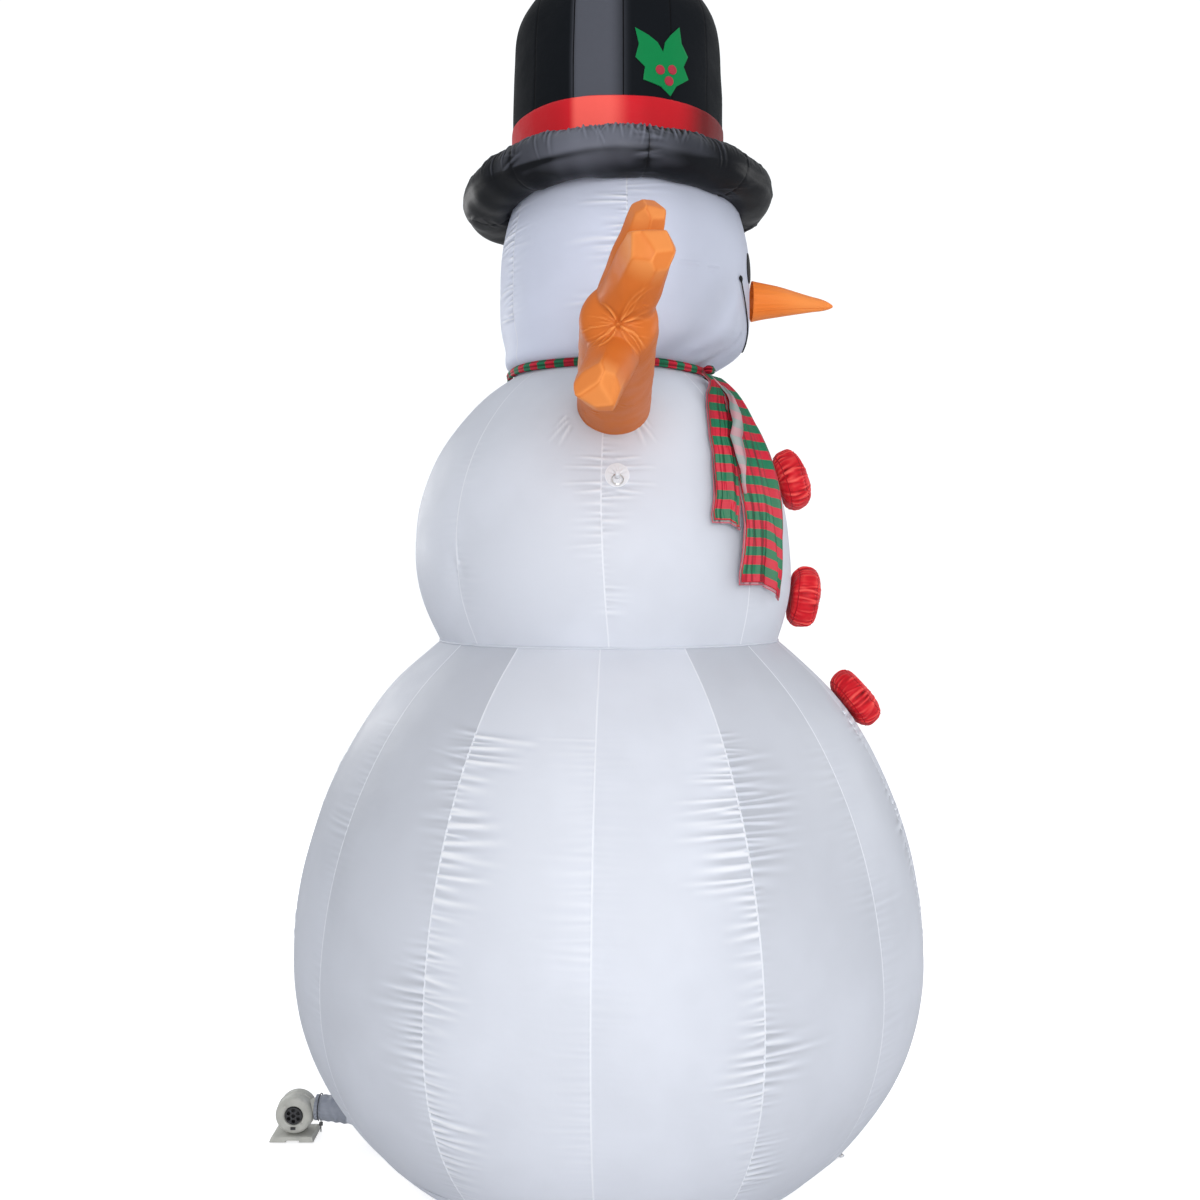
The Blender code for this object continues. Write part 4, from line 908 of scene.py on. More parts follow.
def make_band():
    """A satin ribbon round the crown, its edges turned in."""
    low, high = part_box("hat_band")
    angles = CROWN_PHASE + np.linspace(0, 2 * pi, 281)
    across = np.linspace(-1, 1, 23)
    middle, half = (low.z + high.z) / 2, (high.z - low.z) / 2
    wander = 0.0035 * np.sin(3 * angles + 0.6) + 0.002 * np.sin(7 * angles)
    levels = middle + half * np.clip(across[:, None] * 1.03, -1, 1) * 0.985 + wander[None, :]
    out = 0.0075 * (1 - np.abs(across) ** 12) - 0.001
    rng = np.random.default_rng(81)
    height = out[:, None] + np.zeros((1, len(angles)))
    for _ in range(24):
        centre = rng.uniform(0, 2 * pi)
        turn = wrapped(angles - centre)
        lower = rng.uniform() < 0.6
        edge = (1 + across if lower else 1 - across) * half
        fade = np.exp(-edge / rng.uniform(0.015, 0.05))[:, None]
        height += rng.uniform(0.0003, 0.0010) * fold(turn * 0.54, rng.uniform(0.008, 0.018))[None, :] * fade
    flat = CROWN.share(angles)[None, :]
    points = CROWN.point(angles[None, :] + 0 * levels, CROWN.way_at(levels), height + 0.0015 * flat)
    apart = (1 - np.abs(across))[:, None] * half + 0 * height
    # Painted shade on the band away from the shining panel, deepest towards the front; painted sheen from
    # the crown's panels and painted highlights on its folds' ridges.
    off = np.abs(np.degrees(wrapped(angles - radians(98))))
    painted_side_shade = 0.22 * ease((off - 14) / 12) + 0.85 * ease((off - 38) / 24) * (angles % (2 * pi) < radians(98))
    lighter_tone = 0.8 * crown_painted_sheen(angles)[None, :] - painted_side_shade[None, :] + 30.0 * (height - out[:, None])
    stands(sheet("band_ribbon", points, RED, cloth_of(points, apart), tone=lighter_tone), "red_satin", "hat_band")


BRIM_PIPE = 0.137  # half the width of the inflated ring
BRIM_SEGMENTS = 8


def make_brim():
    """An inflated ring of eight segments, drawn in along the seam that joins it to the crown."""
    low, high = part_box("hat_brim")
    centre = (low + high) / 2
    outer = (high.x - low.x) / 2
    wide = BRIM_PIPE
    ring = outer - wide
    turns = np.linspace(0, 2 * pi, 1001) + radians(80)
    section = np.linspace(-pi, pi, 91)
    spots = vertices_of("hat_brim")
    around = np.arctan2(-(spots[:, 0] - centre.x), -(spots[:, 1] - centre.y))
    steps = np.linspace(-pi, pi, 33)
    rows = [spots[np.abs(wrapped(around - step)) < 0.05] for step in steps]
    level = np.array([(row[:, 2].min() + row[:, 2].max()) / 2 for row in rows])
    tall = float(np.mean([row[:, 2].max() - row[:, 2].min() for row in rows]) / 2)
    rng = np.random.default_rng(91)
    places = np.arange(BRIM_SEGMENTS) + rng.uniform(-0.12, 0.12, BRIM_SEGMENTS)
    joints = radians(80) + 2 * pi * places / BRIM_SEGMENTS
    joints[0] = turns[0]
    gap = np.min([np.abs(wrapped(turns - joint)) for joint in joints], axis=0) * outer
    squash = 1 + 0.02 * ease(gap / 0.22)[:, None]
    across = ring + wide * np.cos(section)[None, :] * np.ones((len(turns), 1))
    up = tall * np.sin(section)[None, :] * squash * 0.985
    points = direction(turns)[:, None, :] * across[..., None]
    points[..., 0] += centre.x
    points[..., 1] += centre.y
    lift = np.interp(wrapped(turns), steps, level)
    points[..., 2] = lift[:, None] + up
    seam = np.abs(wrapped(section - radians(66))) * wide
    height = -0.004 * bell(seam / 0.006)[None, :] * np.ones((len(turns), 1))
    below = section < radians(66)
    for number in range(330):
        middle = turns[0] + 2 * pi * (number + rng.uniform(0.0, 1.0)) / 330
        turn = wrapped(turns - middle)
        long = rng.uniform(0.06, 0.16) * (1.6 if rng.uniform() < 0.25 else 1.0)
        near = np.abs(turn) * outer < 0.06
        lean = rng.normal(0, 0.22) * seam[None, :] * np.where(below, 1, -1)[None, :]
        away = turn[near][:, None] * outer - lean
        fade = np.clip(1 - seam / long, 0, 1)[None, :] ** 0.9
        height[near] += rng.uniform(0.002, 0.0075) * fold(away, rng.uniform(0.005, 0.009)) * fade
    line = np.radians(-20 + 6 * np.sin(2 * turns + 0.5) + 4 * np.sin(5 * turns))
    along = np.abs(section[None, :] - line[:, None]) * tall
    height -= 0.0045 * bell(along / 0.012) * (0.5 + 0.5 * np.sin(3 * turns + 1))[:, None]
    for joint in joints:
        turn = wrapped(turns - joint)
        mark = np.exp(-np.abs(turn * outer) / 0.008)[:, None]
        height -= mark * (0.003 + 0.009 * np.clip(1 - seam / 0.09, 0, 1))[None, :]
        for _ in range(18):
            spot = rng.uniform(-pi, pi)
            reach = rng.uniform(0.05, 0.16)
            slope = rng.normal(0, 0.5)
            away = wrapped(section - spot)[None, :] * wide - slope * (turn * outer)[:, None]
            fade = np.clip(1 - np.abs(turn * outer) / reach, 0, 1)[:, None]
            height += rng.uniform(0.001, 0.0045) * fold(away, rng.uniform(0.008, 0.018)) * fade
    creases = height.copy()
    height += swell(points, 92, 0.22, 0.004)
    apart = np.minimum(gap[:, None] + 0.002, seam[None, :])
    cloth = cloth_of(points, apart)
    # Painted sheen and painted shade: the brim's upper part on the side facing the light is painted paler
    # and its ends darker, with painted sheen from the crown's panels and painted highlights and shade on its
    # creases.
    upper = ease((section[None, :] - line[:, None] + 0.10) / 0.30)
    middle = np.exp(-(np.degrees(np.sin(turns - radians(96))) / 38) ** 2)[:, None]
    sheen = swell(points, 93, 0.16, 0.04)
    sheen += (0.32 + 0.34 * upper) * ease((section + 1.3) / 0.7)[None, :] * middle - 0.3 * (1 - middle)
    sheen += 0.08 * crown_painted_sheen(turns)[:, None]
    sheen += np.clip(creases * 105.0, -0.4, 0.6) * (0.5 + 0.5 * middle)
    points = points - normals(points) * height[..., None]
    tone = np.clip(sheen, -0.6, 1.0)
    stands(sheet("brim_fabric", points, BRIM_BLACK, cloth, flip=True, tone=tone), "hat_satin", "hat_brim")


def on_crown(node, name, lift, material, slot, edge):
    """A CAD applique laid closely on the crown's fabric, each of its points moved onto it."""
    source = frame["nodes"][node].data
    bm = bmesh.new()
    bm.from_mesh(source)
    bmesh.ops.remove_doubles(bm, verts=bm.verts, dist=0.00005)
    axis_y = float(CROWN.middle[0])
    radii = [Vector((v.co.x, v.co.y - axis_y)).length for v in bm.verts]
    bottom = min(radii)
    for vertex, reach in zip(bm.verts, radii):
        angle = atan2(-vertex.co.x, -(vertex.co.y - axis_y))
        point = CROWN.at(angle, vertex.co.z, lift if reach > bottom + 0.001 else -0.002)
        vertex.co = Vector(point)
    mesh = bpy.data.meshes.new(name)
    bm.to_mesh(mesh)
    bm.free()
    mesh.materials.append(material)
    obj = add_object(name, mesh)
    bevel = obj.modifiers.new("turned_edge", "BEVEL")
    bevel.width, bevel.segments, bevel.limit_method = edge, 2, "ANGLE"
    mesh.shade_smooth()
    mesh.set_sharp_from_angle(angle=radians(50))
    return stands(obj, slot, node)


def make_holly():
    on_crown("holly_leaf", "holly_leaf_applique", 0.0045, GREEN, "holly_satin", 0.001)
    for side in ("left", "right", "low"):
        on_crown(f"holly_berry_{side}", f"berry_{side}_applique", 0.008, BERRY, "red_satin", 0.001)


# ---- buttons --------------------------------------------------------------------------------------
def button_profile(radius, half, count=121):
    """Radius, height and metres from the nearest piped edge, from the back's middle to the front's."""
    turn = np.linspace(-pi / 2, pi / 2, count)
    across = radius * np.abs(np.cos(turn)) ** 0.42
    up = half * np.sign(turn) * np.abs(np.sin(turn)) ** 0.80
    steps = np.concatenate(([0.0], np.cumsum(np.hypot(np.diff(across), np.diff(up)))))
    back, front = np.interp((-0.62, 0.62), turn, steps)
    return across, up, steps - back, front - steps


BUTTON_RADIUS, BUTTON_HALF = 0.158, 0.074


def button_shape(seed):
    """A puffed drum: discs front and back, a gathered wall between them, a piped seam round each."""
    radius, half = BUTTON_RADIUS, BUTTON_HALF
    rng = np.random.default_rng(seed)
    turns = np.linspace(0, 2 * pi, 241)
    across, up, from_back, from_front = button_profile(radius, half)
    height = np.zeros((len(across), len(turns)))
    for number in range(84):
        spot = rng.uniform(0, 2 * pi)
        turn = wrapped(turns - spot)
        edge = from_front if number % 2 else from_back
        reach = rng.uniform(0.03, 0.15)
        fade = np.clip(1 - np.abs(edge) / reach, 0, 1) * np.where(edge > 0, 1.0, 0.6)
        lean = rng.normal(0, 0.12) * edge
        away = turn[None, :] * radius - lean[:, None]
        height += rng.uniform(0.0015, 0.0055) * fold(away, rng.uniform(0.005, 0.010)) * fade[:, None]
    # Painted highlights on the gathers' ridges and painted shade in their valleys; a random mottle is added
    # below.
    tone = np.clip(height / 0.006, -0.9, 0.55)
    for edge in (from_back, from_front):
        height += (0.0025 * bell(edge / 0.004) - 0.003 * bell(edge / 0.012))[:, None]
    local = grid_of(across[:, None] * np.cos(turns), across[:, None] * np.sin(turns), up[:, None])
    height += swell(local, seed + 50, 0.10, 0.0030)
    tone += swell(local, seed + 60, 0.09, 0.16)
    edge = np.minimum(np.abs(from_back), np.abs(from_front))
    out = -normals(local)
    cloth = cloth_of(local, edge[:, None] + 0 * height)
    return local + out * (height * ease(across / 0.02)[:, None])[..., None], cloth, tone


def make_buttons():
    for number, node in enumerate(("button_top", "button_middle", "button_low")):
        skin = BELLY if node == "button_low" else CHEST
        local, cloth, tone = button_shape(200 + number)
        middle = middle_of(node)
        turn = skin.seat(0.0, middle[2])
        piece = sheet(f"{node}_puffed", local @ turn.T + middle, RED, cloth, flip=True, tone=tone)
        stands(piece, "red_satin", node)


# ---- the scarf ------------------------------------------------------------------------------------
def make_wrap():
    """The striped band round the neck, squeezed into lengthwise pleats."""
    low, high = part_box("scarf_wrap")
    centre = (low + high) / 2
    outer = (high.x - low.x) / 2
    deep, tall = 0.014, (high.z - low.z) / 2
    turns = np.linspace(0, 2 * pi, 541) + radians(28)
    ring = np.linspace(-pi, pi, 37)
    pleats = 0.16 * np.sin(5 * ring)[None, :] * (1 + 0.4 * np.sin(9 * turns))[:, None]
    pleats = pleats + 0.08 * np.sin(9 * ring[None, :] + 3 * turns[:, None])
    reach = outer - deep + deep * np.cos(ring)[None, :] * (1 + pleats)
    up = tall * np.sin(ring)[None, :] * (1 + 0.5 * pleats) + 0.003 * np.sin(5 * turns + 1)[:, None]
    points = direction(turns)[:, None, :] * reach[..., None] + np.array(centre)
    points[..., 2] += up
    cloth = cloth_of(points)
    cloth[..., 1] = (turns * outer * 0.84)[:, None]
    # Painted shade over the whole wrap, lighter on its pleats' ridges and deeper between them.
    tone = np.clip(-0.45 + 1.6 * pleats + 0.18 * np.sin(3 * turns)[:, None], -0.9, 0.0)
    piece = sheet("scarf_wrap_fabric", points, SCARF, cloth, flip=True, tone=tone)
    stands(piece, "scarf_fabric", "scarf_wrap")


def make_knot():
    """The crossed band that holds the tails: a plump loop, creased towards its waist."""
    low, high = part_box("scarf_knot")
    centre = (low + high) / 2
    angle = atan2(-centre.x, -centre.y)
    out = Vector(direction(angle))
    side = Vector((0, 0, 1)).cross(out).normalized()
    rows, columns = 61, 97
    lat = np.linspace(-pi / 2, pi / 2, rows)[:, None]
    lon = np.linspace(0, 2 * pi, columns)[None, :]
    wide, tall, deep = 0.040, 0.62 * (high.z - low.z) / 2, 0.026
    centre = centre - Vector((0, 0, 0.014)) - out * 0.006
    x = wide * np.sign(np.cos(lat)) * np.abs(np.cos(lat)) ** 0.7 * np.cos(lon)
    y = deep * np.abs(np.cos(lat)) ** 0.7 * np.sin(lon)
    z = tall * np.sin(lat) + 0 * lon
    creases = 1 + 0.09 * np.sin(7 * lat + 1.5 * np.cos(lon)) + 0.05 * np.sin(11 * lat + 2 * lon)
    basis = np.array((side, out, (0, 0, 1)), float)
    points = np.stack((x * creases, y * creases, z), -1) @ basis + np.array(centre)
    cloth = cloth_of(points)
    cloth[..., 1] = x * 1.2 + 0.02
    # Painted shade over the whole knot, deepest in its creases.
    tone = np.clip(-0.6 + 3.0 * (creases - 1), -0.95, 0.0)
    piece = sheet("scarf_knot_fabric", points, SCARF, cloth, flip=True, tone=tone)
    stands(piece, "scarf_fabric", "scarf_knot")


def chest_headings(points):
    """Headings of points round the middle ball's own axis."""
    axis = np.interp(points[..., 2], CHEST.height, CHEST.middle)
    return np.arctan2(-points[..., 0], axis - points[..., 1])


def tail_outline(node):
    """Height, middle heading and half width in heading down a CAD tail, from the top."""
    points = vertices_of(node)
    angles = chest_headings(points)
    edges = np.linspace(points[:, 2].max(), points[:, 2].min(), 11)
    rows = []
    for high, low in zip(edges[:-1], edges[1:]):
        inside = (points[:, 2] <= high + 0.02) & (points[:, 2] >= low - 0.02)
        found = angles[inside]
        rows.append(((high + low) / 2, (found.max() + found.min()) / 2, (found.max() - found.min()) / 2))
    return np.array(rows), edges[0], edges[-1]


class Tail:
    """Where a hanging tail of the scarf lies: the outline comes from its CAD strip."""

    def __init__(self, node, folds, kick, seed):
        self.rows, self.top, self.bottom = tail_outline(node)
        self.folds, self.kick = folds, kick
        self.phases = np.random.default_rng(seed).uniform(0, 2 * pi, 4)

    def lift(self, u, v):
        """Distance off the chest's fabric: soft lengthwise folds that open out downwards."""
        one, two, three, four = self.phases
        flat = ease((u - 0.1) / 0.8) * (1 - ease((v - 0.45) / 0.3))
        depth = self.folds * (0.35 + 0.65 * ease(v * 1.5)) * (1 - 0.85 * flat)
        wave = 0.55 * np.sin(u * 3.6 + one + 1.6 * v) + 0.32 * np.sin(u * 8.0 + two - 2.4 * v)
        wave += 0.16 * np.sin(u * 17 + three + 3.0 * v + np.sin(9 * v)) + 0.06 * np.sin(u * 31 + 14 * v)
        ridge = bell((u - 0.55 + 1.15 * v) / 0.16) * ease((v - 0.45) / 0.4)
        rumple = 0.10 * np.sin(30 * v + 5 * u + four) * np.sin(4 * u + 7 * v)
        return 0.036 * (1 + 1.1 * (1 - ease(4 * v))) + depth * (wave + 0.9 * ridge + rumple + 0.75)

    def points(self, u, v, grow=0.0, behind=0.0, longer=0.0):
        """u runs from -1, the forward edge, to 1; v from 0 at the knot to 1."""
        order = self.rows[::-1]
        level = self.top + (self.bottom - self.top) * v
        middle = np.interp(level, order[:, 0], order[:, 1])
        half = np.interp(level, order[:, 0], order[:, 2])
        reach = np.interp(level, CHEST.height, CHEST.radius)
        drop = self.kick * ease((-u - 0.1) / 0.9) * ease((v - 0.35) / 0.65)
        level = level - drop + self.kick * 0.4 * ease((v - 0.5) / 0.5) - longer * v
        angle = middle + u * (half + grow / reach)
        lift = np.maximum(self.lift(u, v) - behind, 0.010)
        return CHEST.point(angle + 0 * lift, CHEST.way_at(level), lift), half * reach

def tail_sheet(name, tail, material, body, nodes=(), **place):
    u = np.linspace(-1, 1, 73)[None, :]
    v = np.linspace(0, 1, 190)[:, None]
    points, half = tail.points(u, v, **place)
    cloth = cloth_of(points)
    length = tail.top - tail.bottom
    cloth[..., 1] = length * v + 0.3 * STRIPE + 0 * u
    cloth[..., 2] = np.minimum((1 - np.abs(u)) * half, (1 - v) * length)
    # Painted shade: darker towards the knot, and each fold painted lighter or darker by its slope across the
    # tail, as light would shade it.
    slope = np.gradient(tail.lift(u, v), axis=1) / np.gradient(u[0])[None, :] / tail.folds
    tone = -0.10 - 0.45 * (1 - ease(v / 0.7)) - 0.22 * np.clip(slope, -1.2, 2.5)
    tone = np.where(tone < 0, np.maximum(tone, -0.8), np.minimum(tone * 0.5, 0.12))
    piece = sheet(name, points, material, cloth, flip=True, tone=tone)
    thicken(piece, 0.0016)
    stands(piece, "scarf_fabric", *nodes, body=body)


def turned_back(tail):
    """The short tail's forward edge turned over on itself, which shows the paler reverse."""
    v = np.linspace(0.0, 0.80, 150)[:, None]
    t = np.linspace(0, 1, 31)[None, :]
    width = 0.100 * (0.40 + 0.60 * ease(v / 0.30)) * ease((0.86 - v) / 0.40)
    points, _ = tail.points(-1.0 + 0 * t, v)
    reach = np.interp(points[..., 2], CHEST.height, CHEST.radius)
    angles = chest_headings(points) - width * (t - 0.50) / reach
    crumple = 0.004 * np.sin(9 * t + 6 * v) + 0.002 * np.sin(40 * v + 4 * t)
    lift = 0.080 + 0.012 * np.sin(pi * t) - 0.012 * t + crumple
    points = CHEST.point(angles, CHEST.way_at(points[..., 2]), lift * (0.9 + 0.1 * v))
    cloth = cloth_of(points)
    cloth[..., 1] = (tail.top - tail.bottom) * v + 0.6 * STRIPE - 0.25 * width * t
    cloth[..., 2] = np.minimum(width * (1 - t), width * t + 0.01)
    # Slanting paler and darker streaks, and painted shade towards the knot.
    tone = 0.35 * np.sin(7 * t + 9 * v + 2 * np.sin(5 * v)) - 0.3 * (1 - ease(v / 0.35))
    tone = np.clip(tone, -0.6, 0.3)
    piece = sheet("short_tail_turned_back", points, LINING, cloth, flip=True, tone=tone)
    thicken(piece, 0.0016)
    stands(piece, "scarf_fabric", body="short_tail")


def make_tails():
    """Each tail is a striped face with its paler reverse showing a little beyond it."""
    long_tail = Tail("scarf_tail_long", 0.021, 0.075, 401)
    short_tail = Tail("scarf_tail_short", 0.011, 0.030, 402)
    for name, tail in (("long_tail", long_tail), ("short_tail", short_tail)):
        tail_sheet(f"{name}_face", tail, SCARF, name, (f"scarf_tail_{name.split('_')[0]}",))
        tail_sheet(f"{name}_reverse", tail, LINING, name, grow=0.010, behind=0.007, longer=0.014)
    turned_back(short_tail)


# ---- the arms -------------------------------------------------------------------------------------
def limb_axes(way):
    """Unit vectors across, up and along a direction."""
    along = way / np.linalg.norm(way)
    side = np.cross(along, (0.0, 0.0, 1.0))
    side /= np.linalg.norm(side)
    return np.array((side, np.cross(side, along), along))


def facet_planes(rng, sides=5, slants=4):
    """Outward normals and distances, in tip radii, of the flats that a crumpled end settles into."""
    planes, reaches = [], []
    spin = rng.uniform(0, 2 * pi)
    for number in range(sides):
        turn = spin + 2 * pi * (number + rng.uniform(-0.22, 0.22)) / sides
        tilt = rng.uniform(-0.05, 0.12)
        planes.append((cos(tilt) * cos(turn), cos(tilt) * sin(turn), sin(tilt)))
        reaches.append(rng.uniform(0.86, 0.98))
    for number in range(slants):
        turn = spin + 2 * pi * (number + rng.uniform(-0.3, 0.3)) / slants
        tilt = rng.uniform(0.55, 0.95)
        planes.append((cos(tilt) * cos(turn), cos(tilt) * sin(turn), sin(tilt)))
        reaches.append(rng.uniform(0.66, 0.84))
    planes.append((0.12, -0.08, 0.98))
    reaches.append(0.60)
    return np.array(planes), np.array(reaches)


def facet_reach(rays, planes, reaches, sharp=60.0):
    """How far the flats let each ray run, with softened creases between them."""
    facing = np.maximum(rays @ planes.T, 0.05)
    return -np.log(np.exp(-sharp * (reaches / facing - 0.5)).sum(-1)) / sharp + 0.5


def limb(start, end, root, tip, seed, faceted=True):
    """The closed skin of an inflated tube, its far end rounded or settled into flats."""
    start, end = np.asarray(start, float), np.asarray(end, float)
    length = np.linalg.norm(end - start)
    turns = np.linspace(0, 2 * pi, 97)
    deep = 0.55 * tip
    z = np.concatenate((np.linspace(0, length - deep, 50), np.full(26, length - deep)))
    rise = np.concatenate((np.zeros(50), np.linspace(0, pi / 2, 27)[1:]))
    radius = root + (tip - root) * z / (length - deep)
    level, up = np.cos(rise)[:, None], np.sin(rise)[:, None]
    rays = grid_of(level * np.cos(turns), level * np.sin(turns), up)
    reach = np.ones(rays.shape[:-1])
    if faceted:
        near_end = ease((z - (length - deep) + 2.2 * tip) / (2.0 * tip))[:, None]
        reach += near_end * (facet_reach(rays, *facet_planes(np.random.default_rng(seed))) - 1)
    else:
        rays = rays * (1, 1, 0.6)
    local = rays * (reach * radius[:, None])[..., None]
    local[..., 2] += z[:, None]
    local = np.concatenate((np.zeros((1, len(turns), 3)), local))
    return local @ limb_axes(end - start) + start


def fused(grids, voxel):
    """Points, normals and faces of one skin grown round several overlapping closed forms."""
    bm = bmesh.new()
    for grid in grids:
        rows, columns = grid.shape[:2]
        made = [[bm.verts.new(point) for point in row] for row in grid]
        for row in range(rows - 1):
            for column in range(columns - 1):
                bm.faces.new((made[row][column], made[row][column + 1], made[row + 1][column + 1],
                              made[row + 1][column]))
    bmesh.ops.remove_doubles(bm, verts=bm.verts, dist=0.00001)
    mesh = bpy.data.meshes.new("fused")
    bm.to_mesh(mesh)
    bm.free()
    obj = add_object("fused", mesh)
    remesh = obj.modifiers.new("one_skin", "REMESH")
    remesh.mode, remesh.voxel_size = "VOXEL", voxel
    smooth = obj.modifiers.new("soft", "SMOOTH")
    smooth.factor, smooth.iterations = 0.5, 16
    bpy.context.view_layer.update()
    graph = bpy.context.evaluated_depsgraph_get()
    made = bpy.data.meshes.new_from_object(obj.evaluated_get(graph))
    bpy.data.objects.remove(obj)
    return made


def settled(points, start, end, root, tip):
    """Points near a plain tube's skin moved onto it, so that no voxel steps show."""
    start, end = np.asarray(start, float), np.asarray(end, float)
    length = np.linalg.norm(end - start)
    axis = (end - start) / length
    along = (points - start) @ axis
    spoke = points - start - along[:, None] * axis
    reach = np.linalg.norm(spoke, axis=1)
    wanted = root + (tip - root) * along / (length - 0.55 * tip)
    share = ease(2.0 - np.abs(wanted - reach) / 0.0035) * ease((length - 0.6 * tip - along) / 0.04)
    return points + spoke * (share * (wanted / np.maximum(reach, 0.01) - 1))[:, None]


def mesh_arrays(mesh):
    points = np.empty(len(mesh.vertices) * 3)
    outward = np.empty(len(mesh.vertices) * 3)
    mesh.vertices.foreach_get("co", points)
    mesh.vertex_normals.foreach_get("vector", outward)
    return points.reshape(-1, 3), outward.reshape(-1, 3)


def tip_painted_highlights(points, outward, tips):
    """Painted highlights on the flats near the ends of the twigs: each flat is painted lighter by its own
    amount, as if it caught the light in its own way.
    """
    tone = np.zeros(len(points))
    for tip, radius in tips:
        near = ease(1.9 - np.linalg.norm(points - tip, axis=1) / radius)
        flats = 0.5 + 0.5 * np.sin(outward @ (5.0, 7.0, 4.0) + 9 * tip[2])
        tone = np.maximum(tone, near * (0.30 + 0.55 * flats))
    return tone


def crotch_star(points, outward, centre, seed):
    """Fine folds that fan out to both sides of the pinched point where the twigs part."""
    rng = np.random.default_rng(seed)
    spots = points[:, 1:] - centre[1:]
    far = np.linalg.norm(spots, axis=1)
    facing = ease(outward[:, 0] * 2.0) * (points[:, 0] > centre[0] - 0.16)
    height = np.zeros(len(points))
    for number in range(42):
        side = pi if number % 2 else 0.0
        turn = side + rng.uniform(-0.95, 0.95)
        long = rng.uniform(0.07, 0.17)
        tip = np.array((cos(turn), sin(turn))) * long
        share = np.clip(spots @ tip / long**2, 0.0, 1.0)
        bow = 0.10 * rng.normal() * long * np.sin(pi * share)
        across = np.abs((spots[:, 0] * tip[1] - spots[:, 1] * tip[0]) / long - bow)
        beyond = np.linalg.norm(spots - share[:, None] * tip, axis=1)
        away = np.where((share > 0) & (share < 1), across, beyond)
        width = rng.uniform(0.0030, 0.0050)
        height += rng.uniform(0.0020, 0.0048) * fold(away, width) * (1 - share) ** 0.7 * ease(far / 0.020)
    return height * facing


def arm_folds(points, seed):
    """Faint folds round the tubes and slack near their ends."""
    rng = np.random.default_rng(seed)
    height = swell(points, seed, 0.16, 0.0016)
    picks = rng.integers(0, len(points), 60)
    for pick in picks:
        start = points[pick]
        way = rng.normal(size=3)
        way *= rng.uniform(0.04, 0.11) / np.linalg.norm(way)
        height += crease(points, start, start + way, rng.uniform(0.005, 0.009), rng.uniform(0.001, 0.0032))
    return height


ARM_PARTS = ("stick", "top_twig", "front_twig", "low_twig")


def make_arms():
    """A forked stick made once, for the left, and mirrored for the right."""
    anchor = joint_anchor("left_arm_sway")

    def here(x, y, z):
        """A point from the left arm's sway joint: outwards, back and up."""
        return anchor + np.array((x, y, z))

    top, front, low = here(1.10, -0.128, 0.565), here(1.26, -0.143, 0.385), here(1.19, 0.067, -0.15)
    stick = here(-0.13, 0.002, -0.025), here(1.03, -0.018, 0.18), 0.172, 0.152
    parts = [
        limb(*stick, 1000, faceted=False),
        limb(here(0.83, -0.008, 0.15), top, 0.135, 0.072, 1004),
        limb(here(0.90, -0.02, 0.20), front, 0.122, 0.094, 1012),
        limb(here(0.88, -0.005, 0.08), low, 0.105, 0.088, 1023),
    ]
    mesh = fused(parts, 0.0046)
    points, outward = mesh_arrays(mesh)
    points = settled(points, *stick)
    star = crotch_star(points, outward, here(1.06, -0.012, 0.135), 1100)
    height = star + arm_folds(points, 1200)
    tone = tip_painted_highlights(points, outward, ((top, 0.072), (front, 0.094), (low, 0.088)))
    # The crotch star's fold ridges get painted highlights, its valleys painted shade.
    tone = np.clip(tone + star / 0.0035, -0.35, 1.0)
    points = points + outward * height[:, None]
    low, high = here(-0.02, 0, 0), here(0.16, 0, 0.03)
    for side, mirror in (("left", 1), ("right", -1)):
        copy = mesh.copy()
        copy.name = f"{side}_arm_fabric"
        copy.vertices.foreach_set("co", (points * (mirror, 1, 1)).reshape(-1))
        if mirror < 0:
            copy.flip_normals()
        layer = copy.attributes.new("cloth", "FLOAT_VECTOR", "POINT")
        apart = np.hypot(points[:, 1] - anchor[1], 0.15 - (anchor[2] - points[:, 2])) + 0.004
        layer.data.foreach_set("vector", np.stack((points[:, 1], points[:, 0], apart), -1).reshape(-1))
        layer = copy.attributes.new("tone", "FLOAT", "POINT")
        layer.data.foreach_set("value", tone)
        copy.shade_smooth()
        copy.materials.append(BARK)
        piece = add_object(f"{side}_arm_fabric", copy)
        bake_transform(piece)
        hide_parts(*(f"{side}_arm_{part}" for part in ARM_PARTS))


# ---- sewn-on hardware -----------------------------------------------------------------------------
PATCH_RADIUS = 0.055


